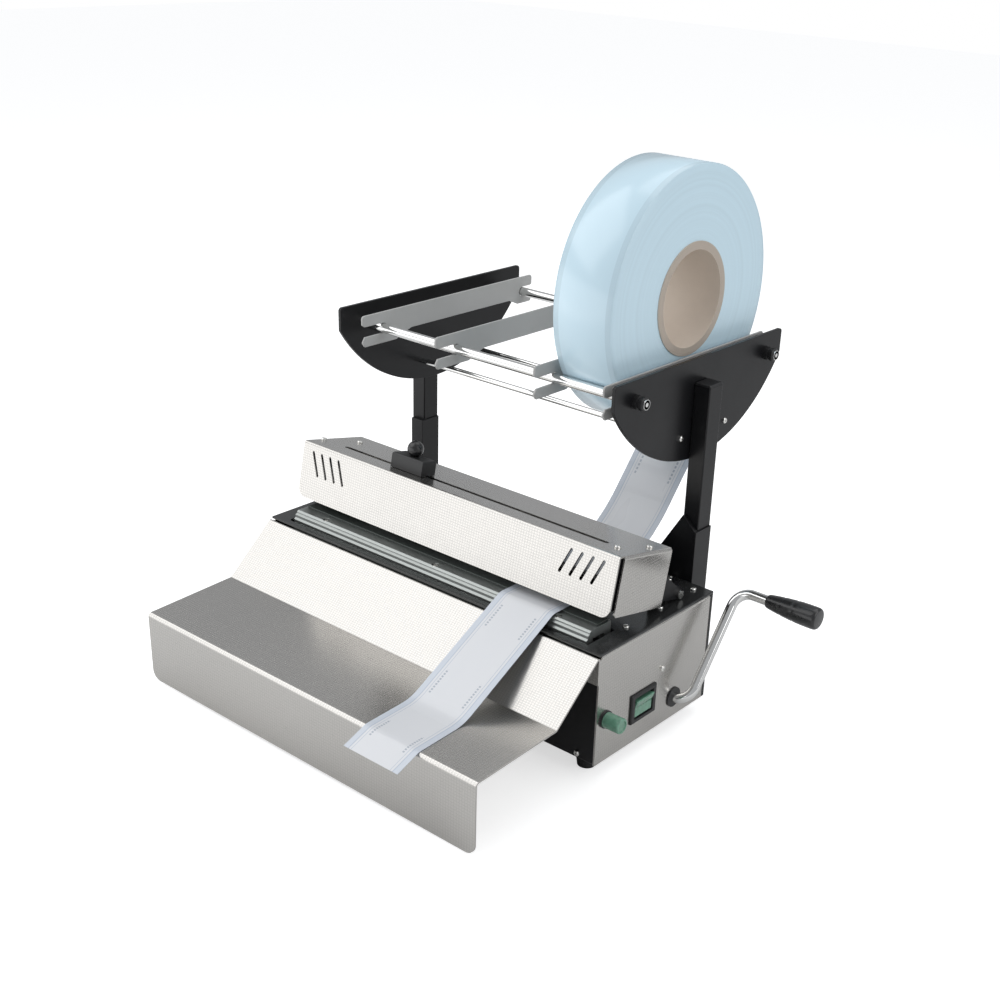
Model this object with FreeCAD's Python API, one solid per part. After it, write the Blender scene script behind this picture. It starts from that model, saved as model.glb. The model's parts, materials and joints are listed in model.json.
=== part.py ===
import FreeCAD, Part
import math
import os
from FreeCAD import Vector

# Bench-top pouch-reel heat sealer with cutter: a reel stand over a sheet-metal base, a hinged sealing
# head that closes on a jaw rail, a side crank that draws the head down, and a knife in the head's slot.
# Millimetres, +Z up. The sub-parts are built round the machine: X from its mid-plane, Y from the front
# edge of the top plate, Z from the bench. save() then moves each to the centre of the footprint.

# ---- base box
body_w = 370.0
body_d = 150.0
body_h = 98.0
foot_h = 14.0
sheet_t = 1.5
top_t = 2.0
rear_t = 4.0
bend_r = 1.0
flange_w = 18.0
foot_r = 9.5
foot_taper = 2.0
foot_bore_r = 5.2
foot_bore_h = 4.0
foot_setback = 3.0
foot_inset = 17.0
top_screw_inset = 13.5
top_screw_back = (101.0, 56.0, 9.6)
panel_screw_ahead = 19.6
panel_screw_drop = 45.0
front_screw_inset = 17.0
z_top = foot_h + body_h
inner_x = body_w / 2 - sheet_t
rear_y = body_d - rear_t

# ---- work table
slope_run = 49.0
slope_drop = 43.2
table_reach = 136.5
shelf_drop = 46.7
lip_h = 61.6
lip_corner_r = 9.0
table_flange_h = 26.0

# ---- jaw rail in its recess
rail_end_gap = 20.0
rail_front_y = 8.0
rail_back_y = 38.0
rail_sink = 5.5
rail_rise = 8.0
strip_y = 23.0
strip_w = 14.0
strip_t = 1.5
recess_gap = 3.0
rail_step = 1.8
rail_bore_h = 2.5
rail_screw_y = rail_front_y + 8.0
t_lip = 2.0
t_room = 4.0
t_neck = 4.0
t_half = 7.0
bolt_r = 1.43
nut_t = 3.0
nut_l = 10.0
nut_fit = 0.6
rail_screw_end = 34.0

# ---- head: a folded cover over a black frame, hinged at the back of the top plate
head_end_gap = 9.5
head_front_step = 1.5
head_depth = 69.0
head_front_h = 50.0
head_flap_h = 49.0
head_flap_lap = 40.0
head_corner_gap = 5.2
head_bend_r = 1.5
head_corner_r = 8.0
head_front_y = 31.7
head_rise = 66.4
head_pitch = 11.9
head_close = 4.0
hinge_back = 32.0
hinge_z = z_top + 4.5
hinge_pin_r = 2.0
hinge_eye_r = 4.2
hinge_ear_t = 3.4
hinge_fit = 0.05
hinge_foot_d = 12.0
hinge_foot_t = 3.0
hinge_block_inset = 20.0
knife_slot_w = 5.0
knife_slot_u = 23.0
cover_screw_u = (20.0, 49.0)
cover_screw_ends = (4.5, 20.5, 18.5, 8.5)
vent_count = 4
vent_pitch = 10.5
vent_end_gap = 46.0
vent_top = 8.0
vent_h = 19.0
vent_lean = 8.0
vent_w = 2.6
frame_t = 3.0
frame_gap = 1.0
arm_tab = 14.0
arm_rise = 4.0
heater_w = 8.0
heater_h = 7.0
board_t = 3.0
beam_inset = 3.4
beam_d = 14.0
beam_h = 14.0
beam_t = 2.0
cross_bar_ahead = 15.2
cross_bar_d = 8.0

# ---- crank and its cross shaft
shaft_back = 47.0
shaft_drop = 79.4
shaft_r = 5.0
shaft_fit = 0.05
crank_rod_r = 4.25
crank_stand_off = 15.0
crank_len = 101.0
crank_angle = 52.6
crank_bend_r = 14.0
rod_lead_in = 12.0
socket_l = 6.0
socket_root = 8.0
crank_travel = 80.0
grip_step = 28.0
grip_len = 47.0
grip_r_in = 5.5
grip_r_out = 9.2
grip_end_t = 6.0
grip_end_r = 3.0
cam_arm_t = 5.0
cam_radius = 20.0
cam_start = 60.0
cam_pin_r = 3.0
cam_gap = 0.35
draw_t = 3.0
draw_gap = 1.15
draw_slot_gap = 1.0
draw_swing = 4.5
draw_ahead = 14.0
draw_behind = 9.0
spring_wire = 1.8
spring_turns = 6
spring_gap = 0.3

# ---- knife
knife_x = -64.0
knife_block_l = 36.0
knife_block_w = 17.0
knife_block_h = 13.0
knife_ball_r = 7.0
knife_gap = 0.3
knife_end_gap = 40.5
slot_spare = 11.0
stem_r = 2.5
stem_thin_r = 2.0
stem_grip = 8.0
stem_in_ball = 5.0
ball_flat = 1.0
shoe_l = 28.0
shoe_h = 10.0
shoe_fit = 0.4
blade_w = 18.0
blade_t = 0.8
blade_gap = 2.0
track_gap = 1.0
track_w = 5.0
track_h = 4.0

# ---- switch and lamp on the right side panel
switch_y = 59.5
switch_drop = 67.0
bezel_w = 33.0
bezel_h = 26.0
rocker_w = 24.0
rocker_h = 19.0
rocker_angle = 10.0
rocker_sink = 2.0
lamp_y = 11.0
lamp_drop = 60.0
lamp_r = 6.5
lamp_len = 15.0

# ---- pieces inside the case, and the power inlet
supply_gap = 93.5
supply_l = 60.0
supply_d = 42.0
supply_h = 46.0
supply_foot_t = 4.0
control_gap = 118.5
control_l = 90.0
control_d = 45.0
control_t = 1.6
pillar_h = 6.0
pillar_r = 2.5
relay_l = 24.0
inlet_x = -60.0
inlet_z = foot_h + 40.0
inlet_w = 27.8
inlet_h = 20.4
inlet_d = 22.0
inlet_rim_t = 2.5
well_w = 23.8
well_h = 16.0
well_cut = 4.2
well_depth = 15.0
pin_pitch = 7.0

# ---- reel stand
post_inset = 38.0
post_w = 15.0
post_d = 18.0
post_wall = 1.5
post_foot_z = foot_h + 8.0
post_drop = 21.0
bracket_t = 4.0
bracket_lip = 1.2
bracket_top_right = 45.0
bracket_top_left = 62.0
gusset_slope = 58.7
gusset_top_right = 57.0
gusset_top_left = 37.0
gusset_start = 2.4
plate_t = 3.0
plate_ahead = 104.0
plate_behind = 126.5
stand_h = 187.0
plate_end_h = 20.0
plate_arc_r = 136.0
rod_r = 4.0
rod_inset_front = 26.7
rod_inset_back = 22.3
rod_drop = 17.0
rod_boss_r = 5.5
rod_boss_len = 9.0
rod_boss_over = 1.2
stay_r = 2.5
stay_ahead = 13.7
stay_behind = 48.3
stay_drop = 62.5

# ---- film
roll_r = 103.4
film_w = 55.0
film_end_gap = 15.0
core_r = 45.0
core_bore_r = 38.5
core_proud = 0.6
roll_gap = 0.3
web_t = 0.4
web_gap = 0.3
web_leave_angle = 50.0
web_flat_y = 60.0
web_land_y = -88.0
web_over = 20.0
web_lead = 4.5

# ---- dividers that keep the reels apart
divider_t = 2.0
divider_left_gap = 22.5
divider_middle_x = -37.0
divider_film_gap = 7.0
divider_right_gap = 10.0
divider_top = 14.0
divider_low = 6.0
divider_gap = 0.3
divider_front = 24.0
divider_back = 13.0
fork_h = 13.0
fork_l = 16.0
fork_ramp = 18.0
fork_lead = 2.0

# ---- small hardware
screw_r = 2.6
screw_h = 1.8
screw_taper = 0.7
screw_sides = 12

# ---- values that follow from the sizes above
rail_len = body_w - 2 * rail_end_gap
rail_screw_pitch = rail_len / 2 - rail_screw_end
head_w = body_w - 2 * head_end_gap
head_front_w = head_w - 2 * head_front_step
hinge_y = body_d - hinge_back
vent_first_x = head_w / 2 - vent_end_gap
head_front_z = z_top + head_rise
shaft_y = body_d - shaft_back
shaft_z = z_top - shaft_drop
switch_z = z_top - switch_drop
lamp_z = z_top - lamp_drop
crank_x = body_w / 2 + crank_stand_off
grip_x = crank_x + grip_step
cam_arm_x = body_w / 2 - flange_w - draw_gap - draw_t - cam_gap - cam_arm_t / 2
rod_start_x = cam_arm_x + rod_lead_in
knife_reach = head_w / 2 - knife_end_gap
rocker_pivot_x = body_w / 2 - rocker_sink
inside_y = body_d * 0.41
supply_x = inner_x - supply_gap
control_x = inner_x - control_gap
post_x = body_w / 2 - post_inset
table_edge_z = z_top - shelf_drop
post_y = body_d + bracket_t
plate_x = post_x - plate_t
plate_top_z = z_top + stand_h
post_top_z = plate_top_z - post_drop
rod_level = plate_top_z - rod_drop
stay_z = plate_top_z - stay_drop
plate_front_y = post_y - plate_ahead
plate_back_y = post_y + plate_behind
rod_front_y = plate_front_y + rod_inset_front
rod_back_y = plate_back_y - rod_inset_back
stay_front_y = post_y - stay_ahead
stay_back_y = post_y + stay_behind
film_x = plate_x - film_end_gap - film_w
divider_x = (divider_left_gap - plate_x, divider_middle_x, film_x - divider_film_gap, plate_x - divider_right_gap)
roll_y = (rod_front_y + rod_back_y) / 2
roll_z = rod_level + math.sqrt((roll_r + roll_gap + rod_r) ** 2 - ((rod_back_y - rod_front_y) / 2) ** 2)
strip_top_z = z_top + rail_rise + strip_t
web_z = strip_top_z + web_gap
mid_x = -(grip_x + grip_len - body_w / 2) / 2
front_y = -(max(plate_back_y, roll_y + roll_r) - table_reach - web_over) / 2


# ------------------------------------------------------------------ helpers
def save(name, shape):
    """Move a sub-part to the footprint's centre and write it."""
    solid = shape.copy()
    solid.translate(Vector(mid_x, front_y, 0))
    solid.exportStep("parts/" + name + ".step")


def block(x0, x1, y0, y1, z0, z1):
    return Part.makeBox(x1 - x0, y1 - y0, z1 - z0, Vector(x0, y0, z0))


def standing_box(x, y, length, depth, low, high):
    """A block centred on (x, y)."""
    return block(x - length / 2, x + length / 2, y - depth / 2, y + depth / 2, low, high)


def rod_x(x0, x1, y, z, r):
    return Part.makeCylinder(r, x1 - x0, Vector(x0, y, z), Vector(1, 0, 0))


def rod_z(x, y, z0, z1, r):
    return Part.makeCylinder(r, z1 - z0, Vector(x, y, z0), Vector(0, 0, 1))


def place(point, axis, level):
    """A 2-D point in the plane across an axis."""
    a, b = point
    if axis == "x":
        return Vector(level, a, b)
    if axis == "y":
        return Vector(a, level, b)
    return Vector(a, b, level)


def run(axis, length):
    return {"x": Vector(length, 0, 0), "y": Vector(0, length, 0), "z": Vector(0, 0, length)}[axis]


def chain(points, radii, closed, axis, level):
    """Edges along a polyline whose corners are rounded; radii holds one value for each point."""
    count = len(points)
    starts = []
    edges = []
    for i, (a, b) in enumerate(points):
        here = Vector(a, b, 0)
        if radii[i] <= 0 or (not closed and i in (0, count - 1)):
            starts.append((here, here, None))
            continue
        back = Vector(*points[i - 1], 0) - here
        ahead = Vector(*points[(i + 1) % count], 0) - here
        back.normalize()
        ahead.normalize()
        half = back.getAngle(ahead) / 2
        cut = radii[i] / math.tan(half)
        middle = back + ahead
        middle.normalize()
        near = here + middle * (radii[i] / math.sin(half) - radii[i])
        starts.append((here + back * cut, here + ahead * cut, near))
    spans = count if closed else count - 1
    for i in range(count):
        first, last, middle = starts[i]
        if middle is not None:
            corner = [place((p.x, p.y), axis, level) for p in (first, middle, last)]
            edges.append(Part.Arc(*corner).toShape())
        if i < spans:
            nxt = starts[(i + 1) % count][0]
            if last.distanceToPoint(nxt) > 1e-6:
                ends = [place((p.x, p.y), axis, level) for p in (last, nxt)]
                edges.append(Part.makeLine(*ends))
    return edges


def prism(points, axis, low, high, radii=None):
    """Extrude a closed outline along an axis from low to high."""
    rounding = radii or [0] * len(points)
    edges = chain(points, rounding, True, axis, low)
    return Part.Face(Part.Wire(edges)).extrude(run(axis, high - low))


def folded(points, thick, radii, axis, low, high):
    """A bent sheet: the polyline is one face of it and the thickness lies to the polyline's left."""
    inner = []
    count = len(points)
    for i in range(count):
        normals = []
        for j in (i - 1, i):
            if 0 <= j < count - 1:
                step = Vector(*points[j + 1], 0) - Vector(*points[j], 0)
                step.normalize()
                normals.append(Vector(-step.y, step.x, 0))
        if len(normals) == 1:
            shift = normals[0] * thick
        else:
            both = normals[0] + normals[1]
            shift = both * (2 * thick / both.dot(both))
        inner.append((points[i][0] + shift.x, points[i][1] + shift.y))
    outer_r = []
    inner_r = []
    for i in range(count):
        if i in (0, count - 1):
            outer_r.append(0)
            inner_r.append(0)
            continue
        before = Vector(*points[i], 0) - Vector(*points[i - 1], 0)
        after = Vector(*points[i + 1], 0) - Vector(*points[i], 0)
        left_turn = before.x * after.y - before.y * after.x > 0
        outer_r.append(radii[i - 1] + (thick if left_turn else 0))
        inner_r.append(radii[i - 1] + (0 if left_turn else thick))
    edges = chain(points, outer_r, False, axis, low)
    far = chain(inner, inner_r, False, axis, low)
    edges.append(Part.makeLine(place(points[-1], axis, low), place(inner[-1], axis, low)))
    edges.extend(reversed(far))
    edges.append(Part.makeLine(place(inner[0], axis, low), place(points[0], axis, low)))
    wire = Part.Wire(Part.__sortEdges__(edges))
    return Part.Face(wire).extrude(run(axis, high - low))


def nearest_edges(shape, points):
    """For each point, the edge whose middle lies nearest to it."""
    found = []
    for point in points:
        found.append(min(shape.Edges, key=lambda e: (e.CenterOfMass - point).Length))
    return found


def rounded(shape, radius, points):
    return shape.makeFillet(radius, nearest_edges(shape, points))


def mirrored(shape):
    """The same piece on the machine's other side."""
    return shape.mirror(Vector(0, 0, 0), Vector(1, 0, 0))


def joined(shapes):
    return Part.makeCompound(shapes)


def fused(shapes):
    whole = shapes[0].multiFuse(shapes[1:])
    return whole.removeSplitter()


def slot_z(x0, x1, y0, y1, z0, z1, r):
    """A straight-sided opening with rounded corners, cut along Z."""
    return prism([(x0, y0), (x1, y0), (x1, y1), (x0, y1)], "z", z0, z1, [r] * 4)


def ring(radius, level):
    """A regular many-sided wire across Z."""
    step = 2 * math.pi / screw_sides
    corners = [Vector(radius * math.cos(i * step), radius * math.sin(i * step), level) for i in range(screw_sides)]
    return Part.makePolygon(corners + corners[:1])


def screw(point, direction):
    """The head of a machine screw, seated on a surface, with few faces as it repeats."""
    head = Part.makeLoft([ring(screw_r, 0), ring(screw_r * screw_taper, screw_h)], True, True)
    head.Placement = FreeCAD.Placement(point, FreeCAD.Rotation(Vector(0, 0, 1), direction))
    return head


def turned(points, origin, direction, radii=None):
    """Revolve a profile of (radius, distance along the axis) about an axis."""
    face = Part.Face(Part.Wire(chain(points, radii or [0] * len(points), True, "y", 0)))
    solid = face.revolve(Vector(0, 0, 0), Vector(0, 0, 1), 360)
    solid.Placement = FreeCAD.Placement(origin, FreeCAD.Rotation(Vector(0, 0, 1), direction))
    return solid


def tip_head(shape):
    """Take a piece drawn square to the head's top and set it at the open head's pitch."""
    moved = shape.copy()
    moved.rotate(Vector(0, 0, 0), Vector(1, 0, 0), -head_pitch)
    moved.translate(Vector(0, head_front_y, head_front_z))
    return moved


def to_head(y, z):
    """Machine (y, z) of the open machine in the head's own square frame."""
    a = math.radians(head_pitch)
    dy = y - head_front_y
    dz = z - head_front_z
    return dy * math.cos(a) - dz * math.sin(a), dy * math.sin(a) + dz * math.cos(a)


# ------------------------------------------------------------------ base box
top_screw_x = body_w / 2 - top_screw_inset
top_screw_y = [body_d - back for back in top_screw_back]
post_screw_x = post_x - screw_r
foot_x = body_w / 2 - foot_inset - foot_setback
feet = [(s * foot_x, y) for s in (-1, 1) for y in (foot_inset, rear_y - foot_inset)]
down = Vector(0, 0, -1)
up = Vector(0, 0, 1)
outward = Vector(1, 0, 0)


def base_pan():
    """Black folded pan: rail shelf, front wall and bottom in one sheet."""
    shelf_z = z_top - rail_sink
    path = [(rail_back_y + 2, shelf_z), (0, shelf_z), (0, foot_h), (rear_y, foot_h)]
    pan = folded(path, sheet_t, [bend_r, bend_r], "x", -inner_x, inner_x)
    for x in rail_screws_x():
        pan = pan.cut(rod_z(x, rail_mid_y(), shelf_z - 5, shelf_z + 1, bolt_r))
    return pan


def rail_screws_x():
    return (-rail_screw_pitch, 0.0, rail_screw_pitch)


def rail_mid_y():
    return (rail_front_y + rail_back_y) / 2


def side_panel():
    """Right-hand side: a C of stainless sheet whose flanges carry the top plate and stand on the pan."""
    top = z_top - top_t
    low = foot_h + sheet_t
    x = body_w / 2
    path = [(x - flange_w, low), (x, low), (x, top), (x - flange_w, top)]
    panel = folded(path, sheet_t, [bend_r, bend_r], "y", sheet_t + bend_r + 0.2, rear_y)
    panel = panel.fuse(block(x - sheet_t, x, 0, rear_y, foot_h, low + 4))
    panel = panel.fuse(block(x - sheet_t, x, 0, sheet_t + bend_r + 1, foot_h, top - bend_r - sheet_t))
    panel = panel.cut(rod_x(x - 5, x + 1, shaft_y, shaft_z, shaft_r + 3.0))
    return panel.cut(block(x - flange_w - 1, x - sheet_t - bend_r - 0.5, -1, rail_back_y, top - 4, top + 1))


def side_panel_right():
    x = body_w / 2
    panel = side_panel()
    half_w = rocker_w / 2 + 1.0
    half_h = rocker_h / 2 + 1.0
    panel = panel.cut(block(x - 5, x + 1, switch_y - half_w, switch_y + half_w, switch_z - half_h,
                            switch_z + half_h))
    return panel.cut(rod_x(x - 5, x + 1, lamp_y, lamp_z, lamp_r - 2.5))


def panel_screw_point():
    return Vector(body_w / 2, shaft_y - panel_screw_ahead, z_top - panel_screw_drop)


def rear_panel():
    """Black plate across the back, with the cut-out for the power inlet."""
    x = body_w / 2
    panel = block(-x, x, rear_y, body_d, foot_h, z_top - top_t)
    half_w = inlet_w / 2
    half_h = inlet_h / 2
    return panel.cut(block(inlet_x - half_w, inlet_x + half_w, rear_y - 1, body_d + 1, inlet_z - half_h,
                           inlet_z + half_h))




def top_plate():
    """Dark polished plate with the rail's recess and a slot for each draw plate."""
    x = body_w / 2
    low = z_top - top_t
    plate = block(-x, x, 0, body_d, low, z_top)
    plate = rounded(plate, 0.8, [Vector(x, body_d / 2, z_top), Vector(-x, body_d / 2, z_top)])
    reach = rail_len / 2 + recess_gap
    front = rail_front_y - recess_gap
    plate = plate.cut(slot_z(-reach, reach, front, rail_back_y + 2, low - 1, z_top + 1, 3.0))
    for side in (-1, 1):
        x0 = side * (cam_arm_x + cam_arm_t / 2 + cam_gap + draw_t / 2)
        half = draw_t / 2 + draw_slot_gap
        plate = plate.cut(slot_z(x0 - half, x0 + half, draw_front_y - draw_swing, draw_back_y + draw_swing, low - 1,
                                 z_top + 1, half * 0.9))
    return plate


def work_table():
    """One stainless sheet: flange on the front wall, slope, shelf and a lip with rounded corners."""
    half = body_w / 2
    path = [(0, z_top - table_flange_h), (0, z_top), (-slope_run, z_top - slope_drop),
            (-table_reach, table_edge_z), (-table_reach, table_edge_z - lip_h)]
    table = folded(path, sheet_t, [0.6, bend_r, 2.0], "x", -half, half)
    y = -table_reach + sheet_t / 2
    low = table_edge_z - lip_h
    return rounded(table, lip_corner_r, [Vector(-half, y, low), Vector(half, y, low)])


def rubber_feet():
    pads = []
    for x, y in feet:
        profile = [(foot_bore_r, 0), (foot_r - foot_taper, 0), (foot_r, foot_h), (0, foot_h), (0, foot_bore_h),
                   (foot_bore_r, foot_bore_h)]
        pads.append(turned(profile, Vector(x, y, 0), up))
    return joined(pads)


def foot_screws():
    return [screw(Vector(x, y, foot_bore_h), down) for x, y in feet]


# ------------------------------------------------------------------ jaw rail
def jaw_rail():
    """Extruded rail: stepped front, two grooves along the front and a T-slot underneath."""
    low = z_top - rail_sink
    top = z_top + rail_rise
    step = rail_front_y + rail_step
    crest = rail_front_y + 2 * rail_step
    mid = rail_mid_y()
    lips = low + t_lip
    roof = lips + t_room
    outline = [(rail_front_y, low), (rail_front_y, z_top + 1.0), (step, z_top + 2.2), (step, z_top + 4.6),
               (crest, z_top + 5.6), (crest, top - 1.2), (crest + rail_step, top), (rail_back_y, top),
               (rail_back_y, low), (mid + t_neck, low), (mid + t_neck, lips), (mid + t_half, lips),
               (mid + t_half, roof), (mid - t_half, roof), (mid - t_half, lips), (mid - t_neck, lips),
               (mid - t_neck, low)]
    rail = prism(outline, "x", -rail_len / 2, rail_len / 2)
    groove = block(-rail_len / 2 - 1, rail_len / 2 + 1, rail_front_y - 1, rail_front_y + 0.9, z_top - 2.2,
                   z_top - 1.2)
    rail = rail.cut(groove)
    for x in rail_screws_x():
        rail = rail.cut(rod_z(x, rail_screw_y, top - rail_bore_h, top + 1, screw_r + 0.4))
    return rail


def silicone_strip():
    low = z_top + rail_rise
    half = rail_len / 2 - 2
    strip = block(-half, half, strip_y, strip_y + strip_w, low, low + strip_t)
    y0 = strip_y
    y1 = strip_y + strip_w
    return rounded(strip, 0.6, [Vector(0, y0, low + strip_t), Vector(0, y1, low + strip_t)])


def rail_screws():
    top = z_top + rail_rise
    return [screw(Vector(x, rail_screw_y, top - rail_bore_h), up) for x in rail_screws_x()]


def rail_bolts():
    """Bolts from below that clamp the rail on the pan's shelf, with their nuts in the T-slot."""
    low = z_top - rail_sink
    bolts = []
    for x in rail_screws_x():
        bolt = screw(Vector(x, rail_mid_y(), low - sheet_t), down)
        bolt = bolt.fuse(rod_z(x, rail_mid_y(), low - sheet_t, low + t_lip + nut_t, bolt_r))
        nut = standing_box(x, rail_mid_y(), nut_l, 2 * t_half - nut_fit, low + t_lip, low + t_lip + nut_t)
        bolts.append(bolt.fuse(nut))
    return joined(bolts)


# ------------------------------------------------------------------ head
side_plate_x = head_w / 2 - sheet_t - frame_gap - frame_t
head_back_y = head_front_y + head_depth * math.cos(math.radians(head_pitch))
draw_x = cam_arm_x + cam_arm_t / 2 + cam_gap
draw_front_y = shaft_y - draw_ahead
draw_back_y = shaft_y + draw_behind
hinge_block_x = side_plate_x - hinge_block_inset
cross_bar_y = head_back_y - cross_bar_ahead
cross_bar = (cross_bar_y, cross_bar_y + cross_bar_d, z_top + 26.0, z_top + 36.0)


def hinge_screw_y():
    return (hinge_y + hinge_foot_d / 2, hinge_y + 1.5 * hinge_foot_d)


def swing_open(shape):
    """Turn a piece drawn on the closed head up to the open head."""
    moved = shape.copy()
    moved.rotate(Vector(0, hinge_y, hinge_z), Vector(1, 0, 0), -head_close)
    return moved


def slanted_slot(x_top, w_top, x_low, w_low, width):
    """A round-ended slot through the head's front, from a top point to a lower one."""
    along = Vector(x_low - x_top, 0, w_low - w_top)
    side = Vector(-along.z, 0, along.x)
    side.normalize()
    side = side * (width / 2)
    top = Vector(x_top, -1, w_top)
    low = Vector(x_low, -1, w_low)
    corners = [top + side, low + side, low - side, top - side, top + side]
    body = Part.Face(Part.makePolygon(corners)).extrude(Vector(0, 6, 0))
    ends = [Part.makeCylinder(width / 2, 6, p, Vector(0, 1, 0)) for p in (top, low)]
    return body.fuse(ends)


def slot_len():
    """The knife slot is longer than the knife's travel by a little at each end."""
    return 2 * (knife_reach + slot_spare)


def cover_screw_points():
    """Where screws go through the head's top: (x, u), two at each end, not quite in pairs."""
    end = head_w / 2
    front, back = cover_screw_u
    left, far_left, far_right, right = cover_screw_ends
    return [(left - end, front), (far_left - end, back), (end - far_right, front), (end - right, back)]


def head_cover():
    """Folded stainless cover: top, front with vents, and two end flaps with open corners."""
    half = head_w / 2
    front = folded([(head_depth, 0), (0, 0), (0, -head_front_h)], sheet_t, [bend_r], "x",
                   -head_front_w / 2, head_front_w / 2)
    corners = [Vector(s * head_front_w / 2, sheet_t / 2, -head_front_h) for s in (-1, 1)]
    front = rounded(front, head_corner_r, corners)
    ends = []
    for side in (-1, 1):
        path = [(half, -head_flap_h), (half, 0), (half - head_flap_lap, 0)]
        flap = folded(path, sheet_t, [head_bend_r], "y", head_corner_gap, head_depth)
        flap = rounded(flap, 3.0, [Vector(half - sheet_t / 2, head_corner_gap, -head_flap_h)])
        ends.append(flap if side > 0 else mirrored(flap))
    cover = fused([front] + ends)
    slot = slot_z(-slot_len() / 2, slot_len() / 2, knife_slot_u - knife_slot_w / 2,
                  knife_slot_u + knife_slot_w / 2, -3, 1, knife_slot_w * 0.49)
    cutters = [slot]
    for side in (-1, 1):
        for i in range(vent_count):
            x = side * (vent_first_x + i * vent_pitch)
            cutters.append(slanted_slot(x, -vent_top, x - side * vent_lean, -vent_top - vent_h, vent_w))
    return tip_head(cover.cut(cutters))


def cover_screws():
    return tip_head(joined([screw(Vector(x, u, 0), up) for x, u in cover_screw_points()]))


def head_arm(side):
    """Black end plate of the head: it fills the cover's end and reaches back to the hinge."""
    eye_u, eye_w = to_head(hinge_y, hinge_z)
    top = -sheet_t - 0.2
    low = arm_rise - head_flap_h
    front = sheet_t + 0.7
    outline = [(front, top), (head_depth - 4, top), (head_depth - 2, -22), (eye_u, eye_w + hinge_eye_r),
               (eye_u, eye_w - hinge_eye_r), (head_depth - 8, low), (front + 4, low), (front, low + 5)]
    x = side_plate_x
    plate = prism(outline, "x", x, x + frame_t, [1, 3, 6, 0, 0, 6, 3, 3])
    plate = plate.fuse(rod_x(x, x + frame_t, eye_u, eye_w, hinge_eye_r))
    shelf = block(x - arm_tab, x + 0.5, 12, head_depth - 11, top - 2.5, top)
    plate = plate.fuse(shelf).removeSplitter()
    plate = plate.cut(rod_x(x - 1, x + frame_t + 1, eye_u, eye_w, hinge_pin_r + hinge_fit))
    plate = tip_head(plate)
    return plate if side > 0 else mirrored(plate)


def bar_level():
    """Underside of the heating bar on the closed head, just clear of the film on the strip."""
    return web_z + web_t + web_gap


def head_beam():
    """Black channel between the end plates, open to the front; the heating bar hangs under it."""
    front = strip_y + beam_inset
    back = front + beam_d
    low = bar_level() + heater_h + board_t
    path = [(front, low), (back, low), (back, low + beam_h), (front + 3.0, low + beam_h)]
    beam = folded(path, beam_t, [bend_r, bend_r], "x", -side_plate_x, side_plate_x)
    return swing_open(beam)


def heater_block():
    """Heat-resistant board between the beam and the heating bar."""
    y = strip_y + strip_w / 2
    low = bar_level() + heater_h
    half = rail_len / 2 - 2
    return swing_open(block(-half, half, y - heater_w / 2 + 0.5, y + heater_w / 2 + 1.5, low, low + board_t))


def heating_bar():
    """Aluminium bar with a ridged sealing face."""
    y = strip_y + strip_w / 2
    half = heater_w / 2
    low = bar_level()
    outline = [(y - half, low + heater_h), (y - half, low + 1.6), (y - half + 1.4, low), (y + half - 1.4, low),
               (y + half, low + 1.6), (y + half, low + heater_h)]
    reach = rail_len / 2 - 4
    bar = prism(outline, "x", -reach, reach)
    for i in range(3):
        groove = y - 1.7 + i * 1.7
        bar = bar.cut(block(-reach - 1, reach + 1, groove - 0.3, groove + 0.3, low - 1, low + 0.4))
    return swing_open(bar)


def head_rear_bar():
    """Square bar across the back of the head that the draw plates hang from."""
    y0, y1, z0, z1 = cross_bar
    return swing_open(block(-side_plate_x, side_plate_x, y0, y1, z0, z1))


def knife_track():
    """Two strips under the slot that the knife's shoe runs between."""
    strips = []
    for side in (-1, 1):
        u = knife_slot_u + side * (knife_slot_w / 2 + track_gap + track_w / 2)
        strips.append(standing_box(0, u, slot_len(), track_w, -sheet_t - track_h, -sheet_t))
    return tip_head(joined(strips))


def hinge_bracket(side):
    """Black block on the top plate with the ear that holds the hinge pin."""
    x1 = side_plate_x - 0.5
    front = hinge_y - hinge_eye_r - 1.3
    back = hinge_y + hinge_foot_d
    foot_top = z_top + hinge_foot_t
    crown = hinge_z + hinge_eye_r + 0.8
    ear = prism([(front, z_top), (back, z_top), (back, foot_top), (hinge_y + 5, crown), (hinge_y - 5, crown),
                 (front, hinge_z)], "x", x1 - hinge_ear_t, x1, [0, 0, 1, 3, 3, 1])
    x0 = hinge_block_x - hinge_foot_d / 2
    foot = block(x0, x1, hinge_y + 0.5, back, z_top, foot_top)
    foot = foot.fuse(block(x0, x0 + hinge_foot_d, hinge_y + 0.5, back + hinge_foot_d, z_top, foot_top))
    bracket = ear.fuse(foot).removeSplitter()
    bracket = bracket.cut(rod_x(x1 - 10, x1 + 1, hinge_y, hinge_z, hinge_pin_r))
    return bracket if side > 0 else mirrored(bracket)


def hinge_pins():
    """Headed pins, fast in the brackets and free in the head's end plates."""
    x1 = side_plate_x
    pin = rod_x(x1 - hinge_ear_t - 0.5, x1 + frame_t + 0.3, hinge_y, hinge_z, hinge_pin_r)
    pin = pin.fuse(rod_x(x1 + frame_t + 0.3, x1 + frame_t + 1.8, hinge_y, hinge_z, hinge_pin_r + 1.6))
    return joined([pin, mirrored(pin)])


def hinge_screws():
    return [screw(Vector(s * hinge_block_x, y, z_top + hinge_foot_t), up) for s in (-1, 1) for y in hinge_screw_y()]


# ------------------------------------------------------------------ closing linkage
def cam_pin_at(turn):
    """Pin centre (y, z) of the crank after the lever has turned forward by some degrees."""
    a = math.radians(cam_start + turn)
    return shaft_y + cam_radius * math.cos(a), shaft_z + cam_radius * math.sin(a)


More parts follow.
